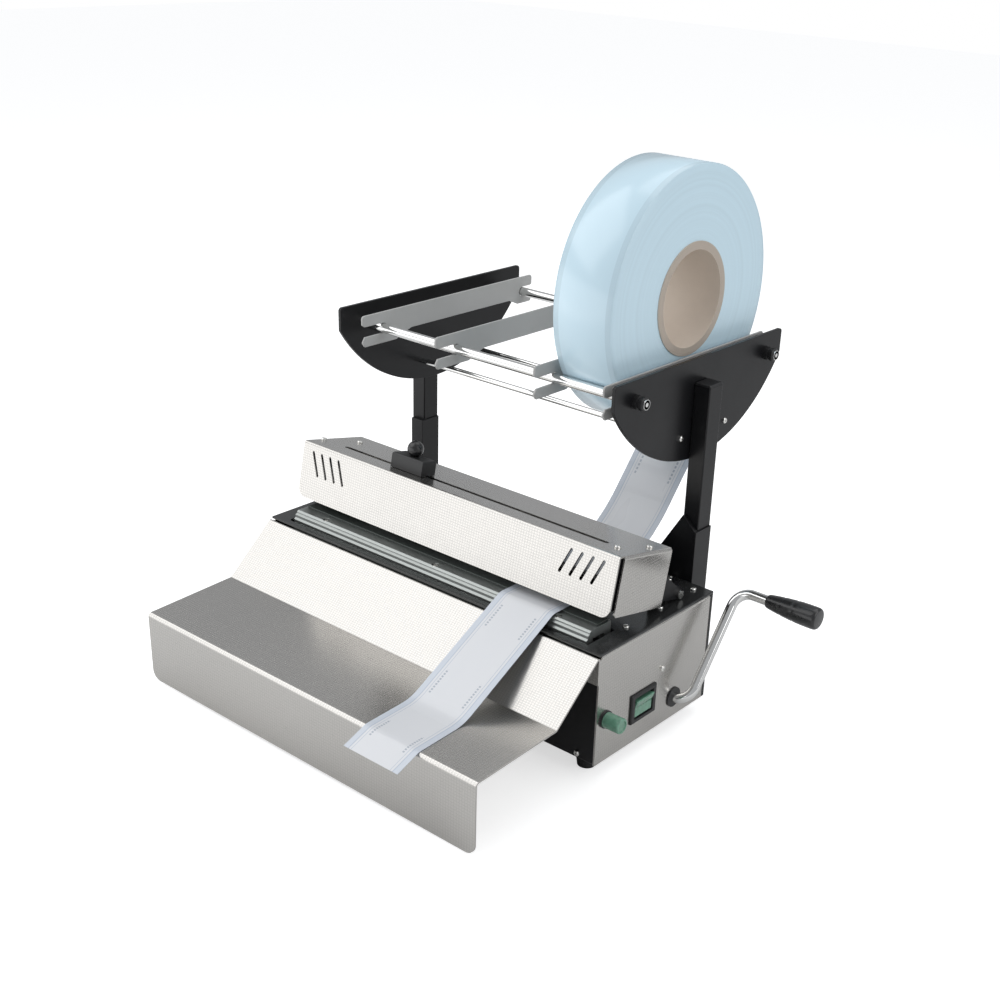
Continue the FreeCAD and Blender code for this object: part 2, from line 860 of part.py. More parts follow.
def pin_on_closed_head(turn):
    """The same pin seen from the head, drawn on the closed head."""
    y, z = cam_pin_at(turn)
    a = math.radians(head_close * (1 - turn / crank_travel))
    dy = y - hinge_y
    dz = z - hinge_z
    return hinge_y + dy * math.cos(a) - dz * math.sin(a), hinge_z + dy * math.sin(a) + dz * math.cos(a)


def arc_slot(points, half, x0, x1):
    """A round-ended slot of half-width half along the arc through three (y, z) points."""
    (ay, az), (by, bz), (cy, cz) = points
    circle = Part.Arc(Vector(x0, ay, az), Vector(x0, by, bz), Vector(x0, cy, cz)).toShape().Curve
    hub = circle.Center
    rays = [(Vector(x0, y, z) - hub).normalize() for y, z in points]
    far = [hub + ray * (circle.Radius + half) for ray in rays]
    near = [hub + ray * (circle.Radius - half) for ray in rays]
    edges = [Part.Arc(*far).toShape(), Part.Arc(*near).toShape()]
    for i, j in ((0, 1), (2, 1)):
        end = hub + rays[i] * circle.Radius
        away = end - (hub + rays[j] * circle.Radius)
        tangent = rays[i].cross(Vector(1, 0, 0))
        if tangent.dot(away) < 0:
            tangent = tangent * -1
        edges.append(Part.Arc(far[i], end + tangent * half, near[i]).toShape())
    wire = Part.Wire(Part.__sortEdges__(edges))
    return Part.Face(wire).extrude(Vector(x1 - x0, 0, 0))


def draw_plate(side):
    """Black plate from the head's rear bar down to the crank pin, with the curved slot for the pin."""
    x0 = draw_x
    x1 = draw_x + draw_t
    path = [pin_on_closed_head(t) for t in (0.0, crank_travel / 2, crank_travel)]
    stem = prism([(draw_front_y, path[1][1]), (draw_front_y, z_top + 8), (cross_bar[0] - 3, cross_bar[2]),
                  (cross_bar[0] - 3, cross_bar[3] + 3), (cross_bar[1] + 3, cross_bar[3] + 3),
                  (draw_back_y - 4, z_top + 8), (draw_back_y, z_top - 6), (draw_back_y, path[1][1])], "x", x0, x1,
                 [0, 4, 4, 2, 2, 4, 4, 0])
    plate = stem.fuse(arc_slot(path, cam_pin_r + cam_gap + 4.5, x0, x1)).removeSplitter()
    plate = plate.cut(arc_slot(path, cam_pin_r + cam_gap, x0 - 1, x1 + 1))
    y0, y1, z0, z1 = cross_bar
    plate = plate.cut(block(x0 - 1, x1 + 1, y0, y1, z0, z1))
    plate = swing_open(plate)
    return plate if side > 0 else mirrored(plate)


def cross_shaft():
    """Shaft across the machine; its right end is a socket that grips the crank rod."""
    x0 = rod_start_x - socket_root
    shaft = rod_x(-body_w / 2 - sheet_t, x0, shaft_y, shaft_z, shaft_r)
    shaft = shaft.fuse(rod_x(x0, rod_start_x + socket_l, shaft_y, shaft_z, shaft_r + 3))
    return shaft.cut(rod_x(rod_start_x, rod_start_x + socket_l + 1, shaft_y, shaft_z, crank_rod_r))


def crank_arms():
    """Cam arms on the cross shaft, each with the hub that grips it."""
    y, z = cam_pin_at(0)
    arms = []
    for side in (-1, 1):
        x0 = side * cam_arm_x - cam_arm_t / 2
        x1 = x0 + cam_arm_t
        ny = (shaft_z - z) / cam_radius
        nz = (y - shaft_y) / cam_radius
        eye = cam_pin_r + 2
        hub = shaft_r + 4
        wide = hub - 2
        bar = prism([(shaft_y + ny * wide, shaft_z + nz * wide), (y + ny * eye, z + nz * eye),
                     (y - ny * eye, z - nz * eye), (shaft_y - ny * wide, shaft_z - nz * wide)], "x", x0, x1)
        arm = fused([bar, rod_x(x0, x1, y, z, eye), rod_x(x0, x1, shaft_y, shaft_z, hub)])
        arm = arm.cut(rod_x(x0 - 1, x1 + 1, shaft_y, shaft_z, shaft_r))
        arms.append(arm.cut(rod_x(x0 - 1, x1 + 1, y, z, cam_pin_r)))
    return joined(arms)


def crank_pins():
    """Pins fast in the cam arms; they draw the head down by the curved slots."""
    y, z = cam_pin_at(0)
    reach = draw_x + draw_t + 1.0
    pin = rod_x(cam_arm_x - cam_arm_t / 2, reach, y, z, cam_pin_r)
    return joined([pin, mirrored(pin)])


def shaft_bush(side):
    """Flanged black bush in a side panel; the right one carries the thinner crank rod."""
    bore = (crank_rod_r if side > 0 else shaft_r) + shaft_fit
    x = body_w / 2
    bush = rod_x(x - sheet_t - 4, x, shaft_y, shaft_z, shaft_r + 3.0)
    bush = bush.fuse(rod_x(x, x + 1.2, shaft_y, shaft_z, shaft_r + 3.6))
    bush = bush.cut(rod_x(x - 10, x + 5, shaft_y, shaft_z, bore))
    return bush if side > 0 else mirrored(bush)


def crank_end():
    """Where the crank's grip axis crosses the machine's side view: (y, z)."""
    a = math.radians(crank_angle)
    return shaft_y + crank_len * math.cos(a), shaft_z + crank_len * math.sin(a)


def crank_rod():
    """Chrome rod bent twice: out of the panel, up the arm, and out again to the grip."""
    y, z = crank_end()
    corners = [Vector(rod_start_x, shaft_y, shaft_z), Vector(crank_x, shaft_y, shaft_z), Vector(crank_x, y, z),
               Vector(grip_x + grip_len - grip_end_t, y, z)]
    edges = []
    last = corners[0]
    for i in (1, 2):
        back = (corners[i - 1] - corners[i]).normalize()
        ahead = (corners[i + 1] - corners[i]).normalize()
        enter = corners[i] + back * crank_bend_r
        leave = corners[i] + ahead * crank_bend_r
        hub = corners[i] + (back + ahead) * crank_bend_r
        toward = (corners[i] - hub).normalize()
        edges.append(Part.makeLine(last, enter))
        edges.append(Part.Arc(enter, hub + toward * crank_bend_r, leave).toShape())
        last = leave
    edges.append(Part.makeLine(last, corners[3]))
    section = Part.Wire(Part.makeCircle(crank_rod_r, corners[0], Vector(1, 0, 0)))
    return Part.Wire(edges).makePipeShell([section], True, False)


def crank_grip():
    """Tapered barrel grip, thicker towards its rounded outer end."""
    y, z = crank_end()
    bore = grip_len - grip_end_t
    profile = [(crank_rod_r, 0), (grip_r_in, 0), (grip_r_out, grip_len * 0.72), (grip_r_out, grip_len - grip_end_r),
               (grip_r_out - grip_end_r, grip_len), (0, grip_len), (0, bore), (crank_rod_r, bore)]
    return turned(profile, Vector(grip_x, y, z), outward)


def return_spring():
    """Torsion coil round the cross shaft that swings the crank back."""
    inner = shaft_r + spring_gap
    profile = [(inner, 0), (inner, spring_turns * spring_wire)]
    for i in range(spring_turns, 0, -1):
        profile.append((inner + spring_wire * 0.5, i * spring_wire))
        profile.append((inner + spring_wire, (i - 0.5) * spring_wire))
    profile.append((inner + spring_wire * 0.5, 0))
    return turned(profile, Vector(-cam_arm_x + cam_arm_t / 2 + 0.3, shaft_y, shaft_z), outward)


# ------------------------------------------------------------------ knife
def knife_block():
    """Black carriage that rides on the cover over the slot."""
    half_l = knife_block_l / 2
    u0 = knife_slot_u - knife_block_w / 2
    u1 = knife_slot_u + knife_block_w / 2
    low = knife_gap
    body = block(-half_l, half_l, u0, u1, low, low + knife_block_h)
    long_edges = [Vector(0, u, low + knife_block_h) for u in (u0, u1)]
    end_edges = [Vector(s * half_l, knife_slot_u, low + knife_block_h) for s in (-1, 1)]
    body = rounded(body, 2.0, long_edges + end_edges)
    body = body.cut(rod_z(0, knife_slot_u, low - 1, low + knife_block_h + 1, stem_r))
    body.translate(Vector(knife_x, 0, 0))
    return tip_head(body)


def knife_stem():
    """Threaded stem from the ball down through block, slot and shoe."""
    block_top = knife_gap + knife_block_h
    stem = rod_z(knife_x, knife_slot_u, -sheet_t - stem_grip, block_top + stem_in_ball, stem_thin_r)
    stem = stem.fuse(rod_z(knife_x, knife_slot_u, knife_gap, block_top, stem_r))
    return tip_head(stem)


def knife_ball():
    top = knife_gap + knife_block_h
    ball = Part.makeSphere(knife_ball_r, Vector(knife_x, knife_slot_u, top + knife_ball_r - ball_flat))
    side = 2 * knife_ball_r
    ball = ball.cut(standing_box(knife_x, knife_slot_u, side, side, top - ball_flat - 1, top))
    return tip_head(ball.cut(rod_z(knife_x, knife_slot_u, top - 1, top + stem_in_ball, stem_thin_r)))


def knife_shoe():
    """Slider under the cover that holds the blade and keeps the carriage in the slot."""
    width = knife_slot_w + 2 * (track_gap - shoe_fit)
    shoe = standing_box(knife_x, knife_slot_u, shoe_l, width, -sheet_t - shoe_h, -sheet_t - knife_gap)
    return tip_head(shoe.cut(rod_z(knife_x, knife_slot_u, -sheet_t - stem_grip, 0, stem_thin_r)))


def knife_blade():
    """Thin steel blade with a slanted edge, short of the film below."""
    top = -sheet_t - shoe_h
    tip = -head_front_h + blade_gap
    half = blade_w / 2
    outline = [(knife_x - half, top), (knife_x + half, top), (knife_x + half, tip + half + 1), (knife_x, tip),
               (knife_x - half, tip + half + 1)]
    return tip_head(prism(outline, "y", knife_slot_u - blade_t / 2, knife_slot_u + blade_t / 2))


# ------------------------------------------------------------------ electrical pieces
def power_inlet():
    """Snap-in appliance inlet with three pins, facing the rear."""
    half_w = inlet_w / 2
    half_h = inlet_h / 2
    rim = block(inlet_x - half_w - 4, inlet_x + half_w + 4, body_d, body_d + inlet_rim_t, inlet_z - half_h - 3,
                inlet_z + half_h + 3)
    shell = rim.fuse(block(inlet_x - half_w, inlet_x + half_w, body_d - inlet_d, body_d, inlet_z - half_h,
                           inlet_z + half_h))
    left = inlet_x - well_w / 2
    right = inlet_x + well_w / 2
    low = inlet_z - well_h / 2
    top = inlet_z + well_h / 2
    well = prism([(left, low), (right, low), (right, top - well_cut), (right - well_cut, top), (left + well_cut, top),
                  (left, top - well_cut)], "y", body_d - well_depth, body_d + inlet_rim_t + 1, [1] * 6)
    return shell.cut(well)


def inlet_pins():
    pins = []
    for across, rise in ((-pin_pitch, -2), (0, 2), (pin_pitch, -2)):
        x = inlet_x + across
        z = inlet_z + rise
        pins.append(block(x - 1, x + 1, body_d - well_depth, body_d - 3, z - 2, z + 2))
    return joined(pins)


def transformer():
    """Heater supply on the pan's bottom: laminated core round a coil, on a foot strap."""
    low = foot_h + sheet_t
    core_low = low + supply_foot_t
    core = standing_box(-supply_x, inside_y, supply_l, supply_d, core_low, core_low + supply_h)
    coil = standing_box(-supply_x, inside_y, supply_l + 12, supply_d - 16, core_low + 8, core_low + supply_h - 8)
    strap = standing_box(-supply_x, inside_y, supply_l + 24, supply_d - 8, low, core_low)
    return fused([core, coil, strap])


def control_board():
    """Board with its temperature and timing parts, on four pillars."""
    low = foot_h + sheet_t
    face = low + pillar_h + control_t
    parts = [standing_box(control_x, inside_y, control_l, control_d, low + pillar_h, face)]
    for sx in (-1, 1):
        for sy in (-1, 1):
            x = control_x + sx * (control_l / 2 - 5)
            parts.append(rod_z(x, inside_y + sy * (control_d / 2 - 5), low, low + pillar_h, pillar_r))
    parts.append(standing_box(control_x - control_l / 5, inside_y, relay_l, relay_l - 6, face, face + 16))
    parts.append(standing_box(control_x + control_l / 5, inside_y, relay_l + 8, relay_l, face, face + 5))
    return fused(parts)


def switch_bezel():
    """Black frame round the rocker, with its body through the panel."""
    x = body_w / 2
    frame = block(x, x + 2.0, switch_y - bezel_w / 2, switch_y + bezel_w / 2, switch_z - bezel_h / 2,
                  switch_z + bezel_h / 2)
    frame = frame.makeChamfer(0.8, [e for e in frame.Edges if e.BoundBox.XMin > x + 1.9])
    half_w = rocker_w / 2
    half_h = rocker_h / 2
    body = block(x - 18, x, switch_y - half_w - 1, switch_y + half_w + 1, switch_z - half_h - 1,
                 switch_z + half_h + 1)
    room = block(x - 10, x + 3, switch_y - half_w, switch_y + half_w, switch_z - half_h, switch_z + half_h)
    return frame.fuse(body).removeSplitter().cut(room)


def rocker():
    """Green translucent rocker: two faces meeting in a shallow V, tilted to the off side."""
    x = body_w / 2
    half_w = rocker_w / 2 - 0.5
    half_h = rocker_h / 2 - 1.0
    outline = [(x - 6, switch_z - half_h * 0.6), (x - 6, switch_z + half_h * 0.6), (x + 2.6, switch_z + half_h),
               (x + 1.0, switch_z), (x + 2.6, switch_z - half_h)]
    key = prism(outline, "y", switch_y - half_w, switch_y + half_w, [1, 1, 0.8, 3, 0.8])
    key.rotate(Vector(rocker_pivot_x, 0, switch_z), Vector(0, 1, 0), rocker_angle)
    return key


def lamp_lens():
    """Green translucent pilot lamp: a short cylinder with a rounded rim and a ringed end."""
    profile = [(0, 0), (lamp_r, 0), (lamp_r, lamp_len - 0.8), (lamp_r - 0.8, lamp_len), (lamp_r - 2.0, lamp_len),
               (lamp_r - 2.0, lamp_len - 0.8), (0, lamp_len - 0.8)]
    return turned(profile, Vector(body_w / 2 + 1.5, lamp_y, lamp_z), outward)


def lamp_base():
    """Lamp's collar and the threaded body that passes through the panel."""
    x = body_w / 2
    collar = rod_x(x, x + 1.5, lamp_y, lamp_z, lamp_r + 0.8)
    return collar.fuse(rod_x(x - 14, x, lamp_y, lamp_z, lamp_r - 2.5))


# ------------------------------------------------------------------ reel stand
def post(side):
    """Rectangular tube behind the rear panel, carrying a reel plate on its inner face."""
    x0 = post_x
    x1 = post_x + post_w
    y0 = post_y
    y1 = post_y + post_d
    tube = block(x0, x1, y0, y1, post_foot_z, post_top_z)
    tube = tube.makeFillet(1.0, [e for e in tube.Edges if abs(e.BoundBox.ZLength - (post_top_z - post_foot_z)) < 0.1])
    tube = tube.cut(block(x0 + post_wall, x1 - post_wall, y0 + post_wall, y1 - post_wall, post_foot_z - 1,
                          post_top_z + 1))
    return tube if side > 0 else mirrored(tube)


def post_caps():
    x0 = post_x
    x1 = post_x + post_w
    y0 = post_y
    y1 = post_y + post_d
    cap = block(x0, x1, y0, y1, post_top_z, post_top_z + 1.8)
    cap = cap.makeChamfer(0.8, [e for e in cap.Edges if e.BoundBox.ZMin > post_top_z + 1.7])
    plug = block(x0 + post_wall, x1 - post_wall, y0 + post_wall, y1 - post_wall, post_top_z - 8, post_top_z)
    cap = cap.fuse(plug)
    return joined([cap, mirrored(cap)])


def gusset(side):
    """(outer x, level where the sloping edge leaves the post, its foot's x) of a bracket's gusset."""
    x0 = gusset_start + (post_x if side > 0 else -post_x - post_w)
    rise = gusset_top_right if side > 0 else gusset_top_left
    run_out = rise / math.tan(math.radians(gusset_slope))
    return x0, z_top + rise, x0 - run_out


def post_bracket(side):
    """Black angle bracket: gusseted back plate against the rear panel and a flange up the post's side."""
    x0, rise, foot_x = gusset(side)
    x1 = x0 - gusset_start + post_w
    flange_top = z_top + (bracket_top_right if side > 0 else bracket_top_left)
    plate = prism([(foot_x, post_foot_z), (x1, post_foot_z), (x1, flange_top), (x0, max(rise, flange_top)), (x0, rise),
                   (foot_x, z_top)], "y", body_d, body_d + bracket_t)
    flange = block(x1, x1 + bracket_lip, body_d, post_y + post_d, post_foot_z, flange_top)
    return plate.fuse(flange).removeSplitter()


def bracket_screw_points():
    """Screws (x, z) that fix each bracket to the rear panel, beside its post."""
    points = []
    for side in (-1, 1):
        x0, rise, foot_x = gusset(side)
        points += [((x0 + foot_x) / 2, post_foot_z + 12), ((x0 + foot_x) / 2, z_top - 18)]
    return points


def bracket_screws():
    return [screw(Vector(x, post_y, z), Vector(0, 1, 0)) for x, z in bracket_screw_points()]


def plate_mid_y():
    return (plate_front_y + plate_back_y) / 2


def reel_plate(side):
    """Black D-shaped end plate: straight top, short upright ends and a round lower edge."""
    x = plate_x
    half = (plate_back_y - plate_front_y) / 2
    end_z = plate_top_z - plate_end_h
    sag = plate_arc_r - math.sqrt(plate_arc_r ** 2 - half ** 2)
    corners = [Vector(x, plate_front_y, end_z), Vector(x, plate_front_y, plate_top_z),
               Vector(x, plate_back_y, plate_top_z), Vector(x, plate_back_y, end_z)]
    edges = [Part.makeLine(corners[i], corners[i + 1]) for i in range(3)]
    edges.append(Part.Arc(corners[3], Vector(x, plate_mid_y(), end_z - sag), corners[0]).toShape())
    plate = Part.Face(Part.Wire(edges)).extrude(Vector(plate_t, 0, 0))
    tops = [Vector(x + plate_t / 2, y, plate_top_z) for y in (plate_front_y, plate_back_y)]
    plate = rounded(plate, 3.0, tops)
    for y in (rod_front_y, rod_back_y):
        plate = plate.cut(rod_x(x - 1, x + plate_t + 1, y, rod_level, rod_r))
    return plate if side > 0 else mirrored(plate)


def reel_rods():
    """Chrome rods that the reels turn on; their ends pass through both plates and their collars."""
    reach = post_x + rod_boss_len + rod_boss_over
    return joined([rod_x(-reach, reach, y, rod_level, rod_r) for y in (rod_front_y, rod_back_y)])


def rod_collars():
    """Black collars on the rods' ends, outside the plates."""
    rings = []
    for y in (rod_front_y, rod_back_y):
        ring = rod_x(post_x, post_x + rod_boss_len, y, rod_level, rod_boss_r)
        ring = ring.cut(rod_x(post_x - 1, post_x + rod_boss_len + 1, y, rod_level, rod_r))
        rings += [ring, mirrored(ring)]
    return joined(rings)


def stay_rods():
    x = plate_x
    rods = []
    for y in (stay_front_y, stay_back_y):
        rods.append(rod_x(-x, x, y, stay_z, stay_r))
    return joined(rods)


def stay_screws():
    heads = []
    for y in (stay_front_y, stay_back_y):
        head = screw(Vector(post_x, y, stay_z), outward)
        heads += [head, mirrored(head)]
    return heads


def divider(x):
    """Flat plastic strip across the two reel rods, with a fork at each end that hooks on a rod."""
    top = rod_level + divider_top
    low = rod_level - divider_low
    eye = rod_r + divider_gap
    jaw = rod_level - fork_h
    y0 = rod_front_y - divider_front
    y1 = rod_back_y + divider_back
    mouth = [rod_level + eye, rod_level - eye]
    outline = [(y0, top), (y1, top), (y1, mouth[0] + fork_lead / 2), (y1 - 2, mouth[0]), (rod_back_y, mouth[0]),
               (rod_back_y, mouth[1]), (y1 - 2, mouth[1]), (y1, mouth[1] - fork_lead / 2), (y1 - 1, jaw + fork_lead),
               (rod_back_y - 6, jaw + fork_lead), (rod_back_y - fork_ramp, low), (rod_front_y + fork_l + fork_ramp, low),
               (rod_front_y + fork_l, jaw), (y0 + 3, jaw), (y0, jaw + 2 * fork_lead), (y0 + 3, mouth[1]),
               (rod_front_y, mouth[1]), (rod_front_y, mouth[0]), (y0 + 3, mouth[0]), (y0, mouth[0] + fork_lead)]
    radii = [3, 3, 0, 0, 0, 0, 0, 0, 2, 0, 8, 8, 0, 2, 1.5, 0, 0, 0, 0, 0]
    strip = prism(outline, "x", x - divider_t / 2, x + divider_t / 2, radii)
    for y in (rod_front_y, rod_back_y):
        strip = strip.cut(rod_x(x - 5, x + 5, y, rod_level, eye))
    return strip


# ------------------------------------------------------------------ film
def film_roll():
    """Wound film reel on its core."""
    roll = rod_x(film_x, film_x + film_w, roll_y, roll_z, roll_r)
    return roll.cut(rod_x(film_x - 1, film_x + film_w + 1, roll_y, roll_z, core_r))


def roll_core():
    x0 = film_x - core_proud
    x1 = film_x + film_w + core_proud
    tube = rod_x(x0, x1, roll_y, roll_z, core_r)
    return tube.cut(rod_x(x0 - 1, x1 + 1, roll_y, roll_z, core_bore_r))


def web_path():
    """Side view of the film: off the roll, down in a sag, flat over the strip, and out over the table."""
    a = math.radians(web_leave_angle)
    reach = roll_r + roll_gap + web_t
    start = (roll_y + reach * math.sin(a), roll_z - reach * math.cos(a))
    low = web_z
    fall = start[1] - low
    across = start[0] - web_flat_y
    sag_r = (across * math.tan(a) - fall) / (math.tan(a) * math.sin(a) - (1 - math.cos(a)))
    corner = start[0] - fall / math.tan(a)
    land_z = table_line(web_land_y) + web_gap
    edge_z = table_line(-table_reach + 2) + web_gap
    end = (-table_reach - web_over, edge_z - web_over * 0.42)
    points = [start, (corner, low), (rail_front_y + web_lead, low), (web_land_y, land_z), (-table_reach + 2, edge_z), end]
    return points, [sag_r, 12.0, 40.0, 14.0]


def table_line(y):
    """Height of the shelf's upper face at a given y."""
    share = (y + slope_run) / (slope_run - table_reach)
    return z_top - slope_drop - (shelf_drop - slope_drop) * share


def film_web():
    """The film's free length as one thin bent sheet."""
    points, radii = web_path()
    return folded(list(reversed(points)), web_t, list(reversed(radii)), "x", film_x, film_x + film_w)


# ------------------------------------------------------------------ screws on the base
def panel_screws():
    """Screws in the top plate, the right side panel and the pan's front wall."""
    points = [Vector(s * top_screw_x, y, z_top) for s in (-1, 1) for y in top_screw_y]
    points += [Vector(s * post_screw_x, body_d - rear_t, z_top) for s in (-1, 1)]
    heads = [screw(p, up) for p in points] + [screw(panel_screw_point(), outward)]
    front_x = body_w / 2 - front_screw_inset
    return heads + [screw(Vector(s * front_x, 0, foot_h + 2 * screw_r), Vector(0, -1, 0)) for s in (-1, 1)]


os.makedirs("parts", exist_ok=True)
pieces = {
    "base_pan": base_pan(), "side_panel_left": mirrored(side_panel()), "side_panel_right": side_panel_right(),
    "rear_panel": rear_panel(), "top_plate": top_plate(), "work_table": work_table(),
    "rubber_feet": rubber_feet(), "case_screws": joined(foot_screws() + panel_screws() + hinge_screws() + rail_screws()),
    "jaw_rail": jaw_rail(), "silicone_strip": silicone_strip(),
    "rail_bolts": rail_bolts(), "hinge_brackets": joined([hinge_bracket(-1), hinge_bracket(1)]),
    "hinge_pins": hinge_pins(), "head_cover": head_cover(), "cover_screws": cover_screws(),
    "head_arm_left": head_arm(-1), "head_arm_right": head_arm(1), "head_bars": joined([head_beam(), head_rear_bar()]),
    "heater_block": heater_block(), "heating_bar": heating_bar(),
    "knife_track": knife_track(), "draw_plates": joined([draw_plate(-1), draw_plate(1)]),
    "cross_shaft": cross_shaft(), "crank_arms": crank_arms(), "crank_pins": crank_pins(),
    "shaft_bushes": joined([shaft_bush(-1), shaft_bush(1)]), "crank_rod": crank_rod(),
    "crank_grip": crank_grip(), "return_spring": return_spring(),
    "knife_block": knife_block(), "knife_stem": knife_stem(), "knife_ball": knife_ball(),
    "knife_shoe": knife_shoe(), "knife_blade": knife_blade(),
    "power_inlet": power_inlet(), "inlet_pins": inlet_pins(), "transformer": transformer(),
    "control_board": control_board(), "switch_bezel": switch_bezel(), "rocker": rocker(),
    "lamp_base": lamp_base(), "lamp_lens": lamp_lens(), "post_left": post(-1), "post_right": post(1),
    "post_caps": post_caps(), "post_bracket_left": post_bracket(-1), "post_bracket_right": post_bracket(1),
    "stand_screws": joined(bracket_screws() + stay_screws()),
    "reel_plate_left": reel_plate(-1), "reel_plate_right": reel_plate(1),
    "reel_rods": reel_rods(), "rod_collars": rod_collars(), "stay_rods": stay_rods(),
    "film_roll": film_roll(), "roll_core": roll_core(), "film_web": film_web(),
}
for number, x in enumerate(divider_x, start=1):
    pieces["divider_" + str(number)] = divider(x)
for name, shape in pieces.items():
    save(name, shape)
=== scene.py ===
import json
import math

import bmesh
import bpy
from bpy.props import FloatProperty, FloatVectorProperty, IntProperty, PointerProperty
from mathutils import Matrix, Vector


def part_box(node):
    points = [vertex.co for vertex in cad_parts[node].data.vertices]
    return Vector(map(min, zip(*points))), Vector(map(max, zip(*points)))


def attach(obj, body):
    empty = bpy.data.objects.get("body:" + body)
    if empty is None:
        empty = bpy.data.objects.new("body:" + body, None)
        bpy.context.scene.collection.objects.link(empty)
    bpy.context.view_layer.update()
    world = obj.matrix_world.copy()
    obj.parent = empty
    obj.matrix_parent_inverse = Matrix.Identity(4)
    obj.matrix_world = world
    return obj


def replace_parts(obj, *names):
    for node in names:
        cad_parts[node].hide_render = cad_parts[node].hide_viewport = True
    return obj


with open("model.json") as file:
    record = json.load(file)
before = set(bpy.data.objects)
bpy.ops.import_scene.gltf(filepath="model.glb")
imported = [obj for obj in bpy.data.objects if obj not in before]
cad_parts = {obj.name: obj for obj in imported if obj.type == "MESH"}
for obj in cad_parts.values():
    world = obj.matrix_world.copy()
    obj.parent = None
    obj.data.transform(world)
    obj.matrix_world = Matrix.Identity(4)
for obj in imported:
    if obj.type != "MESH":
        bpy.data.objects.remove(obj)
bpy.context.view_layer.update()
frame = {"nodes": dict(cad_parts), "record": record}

# Bench-top pouch heat sealer: satin stainless sheet over a black case, a hinged sealing head with a
# sliding knife, a chrome crank, and a stand with chrome rods, dividers and a film reel. Metres.

bl_info = {
    "name": "Pouch heat sealer",
    "version": (1, 0, 0),
    "blender": (4, 5, 0),
    "location": "View3D > Sidebar > Sealer",
    "description": "Dresses the packed heat sealer with its finishes and fine pieces",
    "category": "Object",
}


def middle(node):
    low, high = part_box(node)
    return (low + high) / 2


def width(node):
    low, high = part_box(node)
    return high - low


# ------------------------------------------------------------------ settings
class SealerSizes(bpy.types.PropertyGroup):
    """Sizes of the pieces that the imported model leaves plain."""

    sheet_edge: FloatProperty(name="Sheet edge", description="Rounding of the sheet-metal edges",
                              default=0.0003, min=0, unit="LENGTH")
    moulding_edge: FloatProperty(name="Moulding edge", description="Rounding of the plastic pieces' edges",
                                 default=0.0007, min=0, unit="LENGTH")
    screw_crown: FloatProperty(name="Screw crown", description="Height of the screw heads",
                               default=0.0019, min=0.0005, unit="LENGTH")
    recess_depth: FloatProperty(name="Recess depth", description="Depth of the cross in the screw heads",
                                default=0.0011, min=0.0002, unit="LENGTH")
    grip_ribs: IntProperty(name="Grip bands", description="Shallow bands turned round the crank's grip",
                           default=3, min=0)
    winding_pitch: FloatProperty(name="Winding pitch", description="Distance between bands on the reel",
                                 default=0.0062, min=0.001, unit="LENGTH")
    seal_margin: FloatProperty(name="Seal margin", description="Width of the sealed edge of the film tube",
                               default=0.005, min=0.001, unit="LENGTH")


class SealerColours(bpy.types.PropertyGroup):
    """Colours of the finishes."""

    steel: FloatVectorProperty(name="Steel", description="Satin stainless sheet", subtype="COLOR",
                               default=(0.60, 0.585, 0.56), min=0, max=1)
    enamel: FloatVectorProperty(name="Enamel", description="Black enamel", subtype="COLOR",
                                default=(0.006, 0.006, 0.007), min=0, max=1)
    deck: FloatVectorProperty(name="Deck", description="Dark polished plate on the case", subtype="COLOR",
                              default=(0.075, 0.078, 0.078), min=0, max=1)
    film: FloatVectorProperty(name="Film", description="Pale blue film on white paper", subtype="COLOR",
                              default=(0.60, 0.78, 0.88), min=0, max=1)
    paper: FloatVectorProperty(name="Paper", description="Free end of the pouch film", subtype="COLOR",
                               default=(0.66, 0.67, 0.69), min=0, max=1)
    board: FloatVectorProperty(name="Core", description="Board tube in the reel", subtype="COLOR",
                               default=(0.62, 0.54, 0.46), min=0, max=1)
    lamp: FloatVectorProperty(name="Lamp", description="Green of the lamp and the rocker", subtype="COLOR",
                              default=(0.16, 0.36, 0.25), min=0, max=1)
    divider: FloatVectorProperty(name="Divider", description="Grey plastic dividers", subtype="COLOR",
                                 default=(0.46, 0.46, 0.45), min=0, max=1)


class SealerStage(bpy.types.PropertyGroup):
    """Camera, lamps and floor."""

    lens: FloatProperty(name="Lens", description="Focal length", default=0.05158, min=0.01, unit="CAMERA")
    turn: FloatProperty(name="Turn", description="Camera's turn about the vertical", subtype="ANGLE",
                        default=math.radians(38.76))
    dip: FloatProperty(name="Dip", description="Camera's angle below the horizon", default=math.radians(25.5),
                       subtype="ANGLE")
    roll: FloatProperty(name="Roll", description="Camera's turn about its own axis", subtype="ANGLE",
                        default=math.radians(2.41))
    stand: FloatVectorProperty(name="Stand", description="Camera from the middle of the deck's edge",
                               default=(0.7368, -0.7549, 0.5120), subtype="TRANSLATION")
    shift_x: FloatProperty(name="Shift X", description="Sideways shift of the lens", default=-0.0472)
    shift_y: FloatProperty(name="Shift Y", description="Upward shift of the lens", default=0.0723)
    key: FloatProperty(name="Key", description="Strength of all the soft lamps", default=1.0, min=0)
    floor: FloatVectorProperty(name="Floor", description="Pale floor", subtype="COLOR",
                               default=(0.8, 0.8, 0.8), min=0, max=1)


